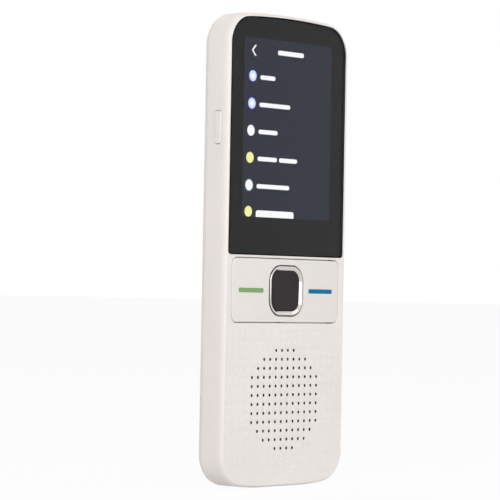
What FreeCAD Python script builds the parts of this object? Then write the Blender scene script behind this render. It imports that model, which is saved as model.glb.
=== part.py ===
"""Handheld translator: a slim candybar case with a display window, a rocking talk panel and a speaker grille.

The case stands on its bottom end. X runs across it, +Z up its length, and its front looks towards -Y.
The origin is the middle of the bottom end. Sizes are in millimetres.
"""

import FreeCAD, Part
import Sketcher
import math
import os
import re

V = FreeCAD.Vector

# Driving dimensions. Each is a cell of the sheet, under its own alias.
SIZES = {
    # Case
    "body_width": 50.5,
    "body_height": 130.0,
    "body_depth": 10.0,
    "side_wall": 1.2,
    "front_wall": 1.2,
    "rear_wall": 1.2,
    "top_corner": 9.0,
    "bottom_corner": 8.5,
    "top_crown": 230.0,
    "bottom_crown": 75.0,
    "bottom_land": 16.0,
    "front_edge_round": 0.9,
    "rear_edge_round": 3.0,
    "parting_from_back": 1.5,
    "lip_height": 1.0,
    "lip_wall": 0.8,
    "lip_clearance": 0.15,
    # Display window and module
    "window_rim": 1.25,
    "window_top_rim": 1.05,
    "panel_to_window": 0.95,
    "window_thickness": 0.8,
    "window_top_corner": 7.7,
    "window_bottom_corner": 1.0,
    "window_gap": 0.08,
    "lens_bevel": 0.12,
    "adhesive_thickness": 0.15,
    "ledge_thickness": 1.0,
    "module_border": 2.65,
    "module_foot_border": 1.35,
    "module_head_border": 3.75,
    "module_gap": 0.3,
    "module_corner": 0.6,
    "panel_thickness": 1.2,
    "backlight_thickness": 0.85,
    "tray_sheet": 0.25,
    "foam_thickness": 0.5,
    "ribbon_width": 14.0,
    "ribbon_sheet": 0.2,
    # Talk panel and its centre key
    "rocker_margin": 3.0,
    "rocker_height": 17.4,
    "rocker_corner": 2.0,
    "rocker_thickness": 1.1,
    "rocker_gap": 0.25,
    "rocker_bevel": 0.2,
    "rocker_post_offset": 14.0,
    "rocker_post_diameter": 2.4,
    "rocker_throw": 0.3,
    "mark_length": 10.0,
    "mark_height": 1.15,
    "mark_depth": 0.35,
    "mark_offset": 14.5,
    "trunnion_diameter": 0.9,
    "trunnion_length": 1.9,
    "trunnion_depth": 2.3,
    "trunnion_clearance": 0.08,
    "arm_width": 4.0,
    "arm_thickness": 1.2,
    "ring_margin": 1.85,
    "ring_extra_width": 0.2,
    "ring_band": 1.35,
    "ring_corner": 4.5,
    "ring_inner_corner": 2.5,
    "ring_proud": 0.2,
    "ring_depth": 1.0,
    "ring_bevel": 0.45,
    "key_gap": 0.25,
    "key_inset": 0.15,
    "key_bevel": 0.3,
    "key_base_depth": 1.7,
    "flange_reach": 0.95,
    "flange_thickness": 0.5,
    "key_travel": 0.35,
    "dome_diameter": 4.0,
    "dome_height": 0.35,
    "dome_clearance": 0.12,
    # Side key
    "side_key_length": 8.9,
    "side_key_width": 2.2,
    "side_key_centre": 97.7,
    "side_key_depth": 3.45,
    "side_key_proud": 0.3,
    "side_key_gap": 0.2,
    "side_key_bevel": 0.25,
    "side_key_travel": 0.3,
    "side_key_flange": 0.8,
    "side_key_flange_thickness": 0.5,
    "side_switch_length": 4.0,
    "side_switch_height": 1.1,
    "side_switch_width": 2.4,
    "side_board_length": 14.0,
    "side_board_thickness": 0.5,
    "side_board_width": 5.5,
    # Speaker and its grille
    "speaker_foot": 10.0,
    "grille_pitch": 2.45,
    "grille_hole": 0.95,
    "grille_reach_x": 6.2,
    "grille_reach_z": 6.0,
    "speaker_diameter": 28.0,
    "mesh_thickness": 0.1,
    "gasket_thickness": 0.45,
    "gasket_width": 1.6,
    "basket_depth": 3.3,
    "basket_wall": 1.0,
    "cone_depth": 1.6,
    "cone_sheet": 0.3,
    "magnet_diameter": 14.0,
    "magnet_depth": 1.3,
    # Boards
    "board_thickness": 1.0,
    "board_above_speaker": 1.0,
    "board_below_panel": 6.2,
    "board_above_panel": 9.9,
    "board_edge_gap": 0.35,
    "frame_sheet": 0.3,
    "boss_diameter": 2.4,
    "lower_boss_inset": 3.55,
    "lower_boss_rise": 2.6,
    "upper_boss_drop": 2.5,
    "screw_diameter": 1.2,
    "screw_length": 1.6,
    "screw_head_diameter": 2.0,
    "screw_head_height": 0.6,
    "shield_left": 16.0,
    "shield_rise": 9.0,
    "shield_width": 17.0,
    "shield_depth": 1.8,
    "shield_height": 15.0,
    "memory_gap": 2.0,
    "memory_rise": 12.0,
    "memory_width": 8.0,
    "memory_depth": 0.9,
    "memory_height": 10.0,
    "wireless_wall_gap": 1.55,
    "wireless_rise": 16.0,
    "wireless_width": 8.5,
    "wireless_depth": 1.5,
    "wireless_height": 11.0,
    "power_left": 8.0,
    "power_rise": 2.0,
    "power_size": 5.0,
    "power_depth": 0.8,
    "connector_depth": 2.0,
    "connector_width": 4.5,
    "connector_height": 3.0,
    # Charging socket
    "socket_width": 8.94,
    "socket_height": 3.2,
    "socket_length": 7.3,
    "socket_sheet": 0.3,
    "socket_recess": 0.4,
    "socket_clearance": 0.25,
    "tongue_width": 6.7,
    "tongue_thickness": 0.7,
    "charge_board_width": 36.0,
    "charge_board_height": 7.6,
    "charge_board_thickness": 0.8,
    "charge_board_bottom": 3.2,
    "microphone_inset": 3.0,
    "strip_width": 3.0,
    "strip_overhang": 0.2,
    "strip_screw_gap": 1.3,
    "microphone_hole": 1.0,
    "microphone_size": 3.0,
    # Battery
    "battery_side_room": 6.7,
    "battery_head_room": 5.5,
    "battery_above_board": 3.0,
    "protection_width": 32.0,
    "protection_depth": 2.6,
    "protection_height": 1.2,
    "lead_diameter": 0.9,
    "lead_inset": 6.0,
    "lead_spacing": 1.6,
    "aerial_width": 28.0,
    "aerial_height": 1.8,
    "aerial_drop": 5.0,
    "tape_thickness": 0.25,
}

# Sides of the small round holes and pegs, and of the round pieces inside, which keep the model's facets few
GRILLE_SIDES = 6
SMALL_SIDES = 10
LARGE_SIDES = 24

doc = FreeCAD.newDocument("translator")
sheet = doc.addObject("Spreadsheet::Sheet", "Dims")
for row, (alias, size) in enumerate(SIZES.items(), start=1):
    sheet.set(f"A{row}", alias)
    sheet.set(f"B{row}", str(size))
    sheet.setAlias(f"B{row}", alias)
doc.recompute()


def bound(text):
    """The expression text with each size named as a cell of the sheet."""
    return re.sub(r"\b(?!min\b)[a-z][a-z_]*", lambda word: "Dims." + word.group(0), text)


def number(text):
    """The present value of an expression in the sheet's sizes."""
    return float(sheet.evalExpression(bound(text)))


# Depths that many pieces share, as expressions along Y
FRONT = "(0 - body_depth/2)"
BACK = "(body_depth/2)"
PARTING = f"({BACK} - parting_from_back)"
INNER_FRONT = f"({FRONT} + front_wall)"
INNER_BACK = f"({BACK} - rear_wall)"
WINDOW_BACK = f"({FRONT} + window_thickness)"
LEDGE_FRONT = f"({WINDOW_BACK} + adhesive_thickness)"
LEDGE_BACK = f"({LEDGE_FRONT} + ledge_thickness)"
PANEL_BACK = f"({WINDOW_BACK} + panel_thickness)"
TRAY_BACK = f"({PANEL_BACK} + backlight_thickness + tray_sheet)"
BOARD_FRONT = TRAY_BACK
BOARD_BACK = f"({BOARD_FRONT} + board_thickness)"
DOME_TOP = f"({BOARD_FRONT} - dome_height)"
TRUNNION_Y = f"({FRONT} + trunnion_depth)"
ROCKER_BACK = f"({FRONT} + rocker_thickness)"
INNER_SIDE = "(body_width/2 - side_wall)"

# Widths that follow the case's
WINDOW_WIDTH = "(body_width - 2 * window_rim)"
MODULE_WIDTH = f"({WINDOW_WIDTH} - 2 * module_border)"
ROCKER_WIDTH = "(body_width - 2 * rocker_margin)"
BATTERY_WIDTH = f"({MODULE_WIDTH} - battery_side_room)"
BOARD_WIDTH = f"(2 * ({INNER_SIDE} - board_edge_gap))"
LOWER_BOSS_X = f"({INNER_SIDE} - lower_boss_inset)"
UPPER_BOSS_X = f"({INNER_SIDE} - boss_diameter/2)"
WIRELESS_X = f"({INNER_SIDE} - wireless_wall_gap - wireless_width)"
MEMORY_X = f"({WIRELESS_X} - memory_gap - memory_width)"
LEAD_X = f"({BATTERY_WIDTH}/2 - lead_inset)"
MICROPHONE_X = "(charge_board_width/2 - microphone_inset)"

# The strip to the charging board keeps on that board and clear of the lower screw's head
STRIP_ON_BOARD = "charge_board_width/2 + strip_overhang - strip_width"
STRIP_BY_SCREW = f"{LOWER_BOSS_X} - screw_head_diameter/2 - strip_screw_gap - strip_width"
STRIP_X = f"min({STRIP_ON_BOARD}; {STRIP_BY_SCREW})"

# Heights up the case, each from the one below it
SPEAKER_CENTRE = "(speaker_foot + speaker_diameter/2)"
BOARD_BOTTOM = "(speaker_foot + speaker_diameter + board_above_speaker)"
ROCKER_FOOT = f"({BOARD_BOTTOM} + board_below_panel)"
ROCKER_CENTRE = f"({ROCKER_FOOT} + rocker_height/2)"
ROCKER_TOP = f"({ROCKER_FOOT} + rocker_height)"
BOARD_TOP = f"({ROCKER_TOP} + board_above_panel)"
WINDOW_BOTTOM = f"({ROCKER_TOP} + panel_to_window)"
WINDOW_TOP = "(body_height - window_top_rim)"
MODULE_BOTTOM = f"({WINDOW_BOTTOM} + module_foot_border)"
MODULE_HEIGHT = f"({WINDOW_TOP} - module_head_border - {MODULE_BOTTOM})"
BATTERY_BOTTOM = f"({BOARD_TOP} + battery_above_board)"
BATTERY_HEIGHT = f"(body_height - battery_head_room - {BATTERY_BOTTOM})"
LOWER_BOSS_Z = f"({BOARD_BOTTOM} + lower_boss_rise)"
UPPER_BOSS_Z = f"({BOARD_TOP} - upper_boss_drop)"

# The centre key's sizes, from the panel round it
RING_HEIGHT = "(rocker_height - 2 * ring_margin)"
RING_WIDTH = f"({RING_HEIGHT} + ring_extra_width)"
RING_INNER_WIDTH = f"({RING_WIDTH} - 2 * ring_band)"
RING_INNER_HEIGHT = f"({RING_HEIGHT} - 2 * ring_band)"


class Drawing:
    """A sketch parallel to one of its body's planes, at a given depth along the axis square to that plane.

    It is drawn in X and Z on XZ, in Y and Z on YZ, and in X and Y on XY.
    """

    def __init__(self, body, name, depth, plane):
        self.sketch = body.newObject("Sketcher::SketchObject", name)
        support = next(o for o in body.Origin.OriginFeatures if o.Role == plane + "_Plane")
        self.sketch.AttachmentSupport = [(support, "")]
        self.sketch.MapMode = "FlatFace"
        offset = f"0 - ({depth})" if plane == "XZ" else f"({depth}) + 0"
        self.sketch.setExpression("AttachmentOffset.Base.z", bound(offset))

    def rule(self, *parts):
        return self.sketch.addConstraint(Sketcher.Constraint(*parts))

    def size(self, text, *parts):
        """A dimension that follows an expression."""
        index = self.rule(*parts, number(text))
        self.sketch.setExpression(f"Constraints[{index}]", bound(text))

    def line(self, x0, z0, x1, z1):
        return self.sketch.addGeometry(Part.LineSegment(V(x0, z0, 0), V(x1, z1, 0)))

    def arc(self, x, z, radius, start, stop):
        circle = Part.Circle(V(x, z, 0), V(0, 0, 1), radius)
        return self.sketch.addGeometry(Part.ArcOfCircle(circle, start, stop))

    def circle(self, x, z, diameter):
        index = self.sketch.addGeometry(
            Part.Circle(V(number(x), number(z), 0), V(0, 0, 1), number(diameter) / 2)
        )
        self.size(x, "DistanceX", -1, 1, index, 3)
        self.size(z, "DistanceY", -1, 1, index, 3)
        self.size(diameter, "Diameter", index)
        return index

    def polygon(self, x, z, diameter, sides):
        """A many-sided ring about the point (x, z)."""
        turns = [2 * math.pi * (k + 0.5) / sides for k in range(sides)]
        across = [f"({x}) + ({diameter})/2 * ({math.cos(a):.6f})" for a in turns]
        up = [f"({z}) + ({diameter})/2 * ({math.sin(a):.6f})" for a in turns]
        spots = [(number(a), number(b)) for a, b in zip(across, up)]
        sides_drawn = [self.line(*spots[k - 1], *spots[k]) for k in range(sides)]
        for k in range(sides):
            self.rule("Coincident", sides_drawn[k], 2, sides_drawn[(k + 1) % sides], 1)
            self.size(across[k], "DistanceX", -1, 1, sides_drawn[k], 2)
            self.size(up[k], "DistanceY", -1, 1, sides_drawn[k], 2)

    def rectangle(self, x, z, width, height, corner=None):
        """A rectangle about the point (x, z), with round corners where a radius is given."""
        left, right = f"({x}) - ({width})/2", f"({x}) + ({width})/2"
        low, high = f"({z}) - ({height})/2", f"({z}) + ({height})/2"
        a, b, c, d = number(left), number(right), number(low), number(high)
        r = number(corner) if corner else 0
        bottom = self.line(a + r, c, b - r, c)
        side = self.line(b, c + r, b, d - r)
        top = self.line(b - r, d, a + r, d)
        other = self.line(a, d - r, a, c + r)
        sides = [bottom, side, top, other]
        if corner:
            turns = [
                self.arc(b - r, c + r, r, 1.5 * math.pi, 2 * math.pi),
                self.arc(b - r, d - r, r, 0, 0.5 * math.pi),
                self.arc(a + r, d - r, r, 0.5 * math.pi, math.pi),
                self.arc(a + r, c + r, r, math.pi, 1.5 * math.pi),
            ]
            for i, turn in enumerate(turns):
                self.rule("Tangent", sides[i], 2, turn, 1)
                self.rule("Tangent", turn, 2, sides[(i + 1) % 4], 1)
            self.size(corner, "Radius", turns[0])
            for turn in turns[1:]:
                self.rule("Equal", turns[0], turn)
        else:
            for i in range(4):
                self.rule("Coincident", sides[i], 2, sides[(i + 1) % 4], 1)
        self.rule("Horizontal", bottom)
        self.rule("Horizontal", top)
        self.rule("Vertical", side)
        self.rule("Vertical", other)
        self.size(left, "DistanceX", -1, 1, other, 1)
        self.size(right, "DistanceX", -1, 1, side, 1)
        self.size(low, "DistanceY", -1, 1, bottom, 1)
        self.size(high, "DistanceY", -1, 1, top, 1)

    def outline(self, inset):
        """The case's outline drawn in by an inset: crowned ends, round corners and a flat foot."""
        half = f"(body_width/2 - ({inset}))"
        low, high = f"({inset})", f"(body_height - ({inset}))"
        crown, rise = f"(top_crown - ({inset}))", f"(bottom_crown - ({inset}))"
        upper, lower = f"(top_corner - ({inset}))", f"(bottom_corner - ({inset}))"
        w, z0, z1, a = number(half), number(low), number(high), number("bottom_land/2")
        big, wide, r, q = number(crown), number(rise), number(upper), number(lower)
        z_up = z1 - big + math.sqrt((big - r) ** 2 - (w - r) ** 2)
        z_down = z0 + wide - math.sqrt((wide - q) ** 2 - (w - q - a) ** 2)
        lean = math.atan2(z_up - (z1 - big), w - r)
        slope = math.atan2(z_down - (z0 + wide), w - q - a)
        land = self.line(-a, z0, a, z0)
        right_foot = self.arc(a, z0 + wide, wide, -math.pi / 2, slope)
        right_low = self.arc(w - q, z_down, q, slope, 0)
        right_side = self.line(w, z_down, w, z_up)
        right_high = self.arc(w - r, z_up, r, 0, lean)
        top = self.arc(0, z1 - big, big, lean, math.pi - lean)
        left_high = self.arc(r - w, z_up, r, math.pi - lean, math.pi)
        left_side = self.line(-w, z_up, -w, z_down)
        left_low = self.arc(q - w, z_down, q, math.pi, math.pi - slope)
        left_foot = self.arc(-a, z0 + wide, wide, math.pi - slope, 1.5 * math.pi)
        loop = [land, right_foot, right_low, right_side, right_high, top]
        loop += [left_high, left_side, left_low, left_foot]
        for one, other in zip(loop, loop[1:] + loop[:1]):
            self.rule("Tangent", one, 2, other, 1)
        self.rule("Horizontal", land)
        self.rule("Vertical", right_side)
        self.rule("Vertical", left_side)
        self.rule("PointOnObject", top, 3, -2)
        self.size(f"0 - {half}", "DistanceX", -1, 1, left_side, 1)
        self.size(half, "DistanceX", -1, 1, right_side, 1)
        self.size(low, "DistanceY", -1, 1, land, 1)
        self.size("0 - bottom_land/2", "DistanceX", -1, 1, land, 1)
        self.size("bottom_land/2", "DistanceX", -1, 1, land, 2)
        self.size(f"{high} - {crown}", "DistanceY", -1, 1, top, 3)
        self.size(crown, "Radius", top)
        for foot in (right_foot, left_foot):
            self.size(rise, "Radius", foot)
        for turn in (right_low, left_low):
            self.size(lower, "Radius", turn)
        for turn in (right_high, left_high):
            self.size(upper, "Radius", turn)

    def window(self, inset):
        """The display window's outline drawn in by an inset: its top follows the case's crown."""
        half = f"({WINDOW_WIDTH}/2 - ({inset}))"
        low, high = f"({WINDOW_BOTTOM} + ({inset}))", f"({WINDOW_TOP} - ({inset}))"
        crown = f"(top_crown - window_top_rim - ({inset}))"
        upper, lower = f"(window_top_corner - ({inset}))", "window_bottom_corner"
        w, z0, z1 = number(half), number(low), number(high)
        big, r, q = number(crown), number(upper), number(lower)
        z_up = z1 - big + math.sqrt((big - r) ** 2 - (w - r) ** 2)
        lean = math.atan2(z_up - (z1 - big), w - r)
        bottom = self.line(q - w, z0, w - q, z0)
        right_low = self.arc(w - q, z0 + q, q, -math.pi / 2, 0)
        right_side = self.line(w, z0 + q, w, z_up)
        right_high = self.arc(w - r, z_up, r, 0, lean)
        top = self.arc(0, z1 - big, big, lean, math.pi - lean)
        left_high = self.arc(r - w, z_up, r, math.pi - lean, math.pi)
        left_side = self.line(-w, z_up, -w, z0 + q)
        left_low = self.arc(q - w, z0 + q, q, math.pi, 1.5 * math.pi)
        loop = [bottom, right_low, right_side, right_high, top, left_high, left_side, left_low]
        for one, other in zip(loop, loop[1:] + loop[:1]):
            self.rule("Tangent", one, 2, other, 1)
        self.rule("Horizontal", bottom)
        self.rule("Vertical", right_side)
        self.rule("Vertical", left_side)
        self.rule("PointOnObject", top, 3, -2)
        self.size(f"0 - {half}", "DistanceX", -1, 1, left_side, 1)
        self.size(half, "DistanceX", -1, 1, right_side, 1)
        self.size(low, "DistanceY", -1, 1, bottom, 1)
        self.size(f"{high} - {crown}", "DistanceY", -1, 1, top, 3)
        self.size(crown, "Radius", top)
        for turn in (right_high, left_high):
            self.size(upper, "Radius", turn)
        for turn in (right_low, left_low):
            self.size(lower, "Radius", turn)


def new_body(label):
    body = doc.addObject("PartDesign::Body", label)
    body.Label = label
    return body


def pad(body, name, near, far, draw, plane="XZ"):
    """Material from the depth near on to the depth far, in the shape that draw puts in a sketch."""
    drawing = Drawing(body, f"{name}_sketch", near, plane)
    draw(drawing)
    feature = body.newObject("PartDesign::Pad", name)
    feature.Profile = drawing.sketch
    feature.Reversed = plane == "XZ"
    feature.setExpression("Length", bound(f"({far}) - ({near})"))
    doc.recompute()
    return feature


def pocket(body, name, near, far, draw, plane="XZ"):
    """A cut from the depth near on to the depth far."""
    before = body.Shape.Volume
    drawing = Drawing(body, f"{name}_sketch", near, plane)
    draw(drawing)
    feature = body.newObject("PartDesign::Pocket", name)
    feature.Profile = drawing.sketch
    feature.Reversed = plane != "XZ"
    feature.setExpression("Length", bound(f"({far}) - ({near})"))
    doc.recompute()
    if body.Shape.Volume >= before:
        raise RuntimeError(f"{name} cuts nothing")
    return feature


def edges_at(shape, depth, chosen=lambda edge: True):
    """The names of the edges that lie wholly at one depth along Y."""
    names = []
    for index, edge in enumerate(shape.Edges, start=1):
        box = edge.BoundBox
        flat = abs(box.YMin - depth) < 1e-6 and abs(box.YMax - depth) < 1e-6
        if flat and chosen(edge):
            names.append(f"Edge{index}")
    return names


def round_edges(body, name, base, edges, radius, kind="Fillet"):
    feature = body.newObject(f"PartDesign::{kind}", name)
    feature.Base = (base, edges)
    feature.setExpression("Radius" if kind == "Fillet" else "Size", bound(radius))
    doc.recompute()
    return feature


def place(feature, x, y, z):
    for axis, text in zip("xyz", (x, y, z)):
        feature.setExpression(f"Placement.Base.{axis}", bound(f"{text} + 0"))


def block(label, x, y, z, along_x, along_y, along_z):
    """A plain block between expressions: each of x, y and z is its low side."""
    feature = doc.addObject("Part::Box", label)
    feature.Label = label
    feature.setExpression("Length", bound(along_x))
    feature.setExpression("Width", bound(along_y))
    feature.setExpression("Height", bound(along_z))
    place(feature, x, y, z)
    return feature


def rod(label, x, y, z, diameter, length, axis="y", sides=0):
    """A cylinder, or a prism with that many sides, from a point along +X, +Y or +Z."""
    feature = doc.addObject("Part::Prism" if sides else "Part::Cylinder", label)
    feature.Label = label
    turn = {"x": (V(0, 1, 0), 90), "y": (V(1, 0, 0), -90), "z": (V(0, 0, 1), 0)}[axis]
    feature.Placement = FreeCAD.Placement(V(0, 0, 0), FreeCAD.Rotation(*turn))
    if sides:
        feature.Polygon = sides
    feature.setExpression("Circumradius" if sides else "Radius", bound(f"({diameter})/2"))
    feature.setExpression("Height", bound(length))
    place(feature, x, y, z)
    return feature


def fuse(label, *pieces):
    feature = doc.addObject("Part::MultiFuse", label)
    feature.Label = label
    feature.Shapes = list(pieces)
    return feature


def cut(label, base, tool):
    feature = doc.addObject("Part::Cut", label)
    feature.Label = label
    feature.Base = base
    feature.Tool = tool
    return feature


def frustum(label, x, y, z, near, far, length, sides):
    """A many-sided cone with flat sides along +Y, from the diameter near to the diameter far."""
    feature = doc.addObject("Part::Feature", label)
    turns = [2 * math.pi * (k + 0.5) / sides for k in range(sides)]
    ends = [(number(near) / 2, 0), (number(far) / 2, number(length))]
    loops = [[V(r * math.cos(a), depth, r * math.sin(a)) for a in turns] for r, depth in ends]
    faces = [Part.Face(Part.makePolygon(loop + loop[:1])) for loop in loops]
    for k in range(sides):
        corners = [loops[0][k - 1], loops[0][k], loops[1][k], loops[1][k - 1]]
        faces.append(Part.Face(Part.makePolygon(corners + corners[:1])))
    solid = Part.Solid(Part.Shell(faces))
    if solid.Volume < 0:
        solid.reverse()
    feature.Shape = solid
    place(feature, x, y, z)
    return feature


def group(label, *pieces):
    """Separate solids that share one node."""
    feature = doc.addObject("Part::Compound", label)
    feature.Label = label
    feature.Links = list(pieces)
    return feature


NODES = []


def keep(feature):
    """Marks a finished sub-part, whose Label is the node's name."""
    NODES.append(feature)
    return feature


def grille_points():
    """The speaker's holes, in pitches from its centre: the points of a square grid inside an ellipse."""
    reach_x, reach_z = SIZES["grille_reach_x"], SIZES["grille_reach_z"]
    steps = [i + 0.5 for i in range(-8, 8)]
    return [(i, j) for j in steps for i in steps if (i / reach_x) ** 2 + (j / reach_z) ** 2 <= 1]


def grille_cutter():
    """All the speaker's holes as one tool: each is a many-sided prism about its point of the grid."""
    tool = doc.addObject("Part::Feature", "grille_cutter")
    radius, pitch, centre = (number(text) for text in ("grille_hole/2", "grille_pitch", SPEAKER_CENTRE))
    front, depth = number(FRONT) - 1, number("front_wall + 2")
    turns = [2 * math.pi * (k + 0.5) / GRILLE_SIDES for k in range(GRILLE_SIDES + 1)]
    rim = [V(radius * math.cos(turn), 0, radius * math.sin(turn)) for turn in turns]
    prism = Part.Face(Part.makePolygon(rim)).extrude(V(0, depth, 0))
    holes = [prism.translated(V(i * pitch, front, centre + j * pitch)) for i, j in grille_points()]
    tool.Shape = Part.makeCompound(holes)
    return tool


def mirrored_rounds(x, z, diameter):
    """A pair of small round outlines, one on each side of the middle."""

    def draw(drawing):
        drawing.polygon(x, z, diameter, SMALL_SIDES)
        drawing.polygon(f"0 - ({x})", z, diameter, SMALL_SIDES)

    return draw


BOSSES = (
    ("lower", LOWER_BOSS_X, LOWER_BOSS_Z, INNER_FRONT),
    ("upper", UPPER_BOSS_X, UPPER_BOSS_Z, LEDGE_BACK),
)
SIDE_KEY_Y = f"({FRONT} + side_key_depth)"
SOCKET_Y = "0"


def make_front_housing():
    """The moulded front and side walls, with the window's ledge, the panel's opening and the grille."""
    body = new_body("housing_body")
    whole = pad(body, "front_block", FRONT, BACK, lambda d: d.outline("0"))
    front, back = number(FRONT), number(BACK)
    soft = round_edges(
        body, "front_round", whole, edges_at(body.Shape, front), "front_edge_round * 0.7", "Chamfer"
    )
    round_edges(body, "rear_round", soft, edges_at(body.Shape, back), "rear_edge_round")
    pocket(body, "hollow", INNER_FRONT, BACK, lambda d: d.outline("side_wall"))
    span = "2 * body_width"
    pocket(
        body, "parting", PARTING, f"{BACK} + 1",
        lambda d: d.rectangle("0", "body_height/2", span, "2 * body_height"),
    )
    pad(body, "ledge", f"{FRONT} + front_wall/2", LEDGE_BACK, lambda d: d.window("0 - side_wall/2"))
    pocket(body, "window_seat", FRONT, LEDGE_FRONT, lambda d: d.window("0 - window_gap"))
    pocket(
        body, "module_opening", FRONT, f"{LEDGE_BACK} + 1",
        lambda d: d.rectangle(
            "0", f"{MODULE_BOTTOM} + {MODULE_HEIGHT}/2", f"{MODULE_WIDTH} + 2 * module_gap",
            f"{MODULE_HEIGHT} + 2 * module_gap", "module_corner",
        ),
    )
    pocket(
        body, "trunnion_relief", f"{TRUNNION_Y} - trunnion_diameter/2 - rocker_gap", f"{LEDGE_BACK} + 1",
        lambda d: d.rectangle(
            "0", f"{ROCKER_TOP} + trunnion_length/2", "arm_width + 1.2", "trunnion_length + 0.8",
        ),
    )
    pocket(
        body, "panel_opening", FRONT, f"{INNER_FRONT} + 1",
        lambda d: d.rectangle(
            "0", ROCKER_CENTRE, f"{ROCKER_WIDTH} + 2 * rocker_gap",
            "rocker_height + 2 * rocker_gap", "rocker_corner + rocker_gap",
        ),
    )
    for name, x, z, start in BOSSES:
        pad(body, f"{name}_bosses", f"{start} - 0.2", BOARD_FRONT, mirrored_rounds(x, z, "boss_diameter"))
        pocket(
            body, f"{name}_pilots", f"{BOARD_FRONT} - (screw_length - board_thickness + 0.1)",
            BOARD_FRONT, mirrored_rounds(x, z, "screw_diameter"),
        )

    def speaker_wall(drawing):
        drawing.polygon("0", SPEAKER_CENTRE, "speaker_diameter + 2.6", LARGE_SIDES)
        drawing.polygon("0", SPEAKER_CENTRE, "speaker_diameter + 0.6", LARGE_SIDES)

    pad(body, "speaker_wall", f"{INNER_FRONT} - 0.1", f"{INNER_FRONT} + 1.6", speaker_wall)
    pocket(
        body, "side_key_slot", "0 - body_width/2 - 1", f"0 - {INNER_SIDE} + 0.1",
        lambda d: d.rectangle(
            SIDE_KEY_Y, "side_key_centre", "side_key_width + 2 * side_key_gap",
            "side_key_length + 2 * side_key_gap", "side_key_gap + 0.7",
        ),
        "YZ",
    )
    pocket(
        body, "socket_slot", "0 - 1", "side_wall + 0.1",
        lambda d: d.rectangle(
            "0", SOCKET_Y, "socket_width + 2 * socket_clearance",
            "socket_height + 2 * socket_clearance", "socket_height/2 + socket_clearance - 0.05",
        ),
        "XY",
    )
    pocket(
        body, "microphone_port", "0 - 1", "side_wall + 0.1",
        lambda d: d.polygon(MICROPHONE_X, f"{SOCKET_Y} + 1", "microphone_hole", SMALL_SIDES), "XY",
    )
    return keep(cut("front_housing", body, grille_cutter()))


def make_rear_cover():
    """The shallow back shell, with a lip inside the side walls and what carries the pieces behind it."""
    body = new_body("rear_cover")
    start = f"{BACK} - rear_edge_round - 0.5"
    whole = pad(body, "back_block", start, BACK, lambda d: d.outline("0"))
    round_edges(body, "back_round", whole, edges_at(body.Shape, number(BACK)), "rear_edge_round")
    pocket(
        body, "back_parting", f"{start} - 1", PARTING,
        lambda d: d.rectangle("0", "body_height/2", "2 * body_width", "2 * body_height"),
    )
    lip = "side_wall + lip_clearance"
    pad(body, "lip", f"{PARTING} - lip_height", INNER_BACK, lambda d: d.outline(lip))
    pocket(
        body, "back_hollow", f"{PARTING} - lip_height - 1", INNER_BACK,
        lambda d: d.outline(f"{lip} + lip_wall"),
    )
    pad(
        body, "charge_posts", "socket_height/2 + charge_board_thickness", f"{INNER_BACK} + 0.2",
        mirrored_rounds("charge_board_width/2 - 3", "charge_board_bottom + charge_board_height/2", "3"),
    )

    def ribs(drawing):
        height = f"{BATTERY_HEIGHT} - 8"
        middle = f"{BATTERY_BOTTOM} + {BATTERY_HEIGHT}/2"
        for side in ("", "0 - "):
            drawing.rectangle(f"{side}({BATTERY_WIDTH}/2 + 0.7)", middle, "0.8", height)

    pad(body, "battery_ribs", f"{INNER_BACK} - 2.5", f"{INNER_BACK} + 0.2", ribs)
    pad(
        body, "switch_bracket", f"{INNER_BACK} - 2.8", f"{INNER_BACK} + 0.2",
        lambda d: d.rectangle(
            f"0 - {SWITCH_BOARD_BACK} + 0.5", "side_key_centre", "1", "side_board_length - 3",
        ),
    )
    return keep(body)


# Distances of the side key's pieces from the middle, along X
KEY_FLANGE_OUT = f"({INNER_SIDE} - 0.05)"
KEY_FLANGE_IN = f"({KEY_FLANGE_OUT} - side_key_flange_thickness)"
SWITCH_OUT = f"({KEY_FLANGE_IN} - side_key_travel - dome_clearance)"
SWITCH_IN = f"({SWITCH_OUT} - side_switch_height)"
SWITCH_BOARD_BACK = f"({SWITCH_IN} - side_board_thickness)"


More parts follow.
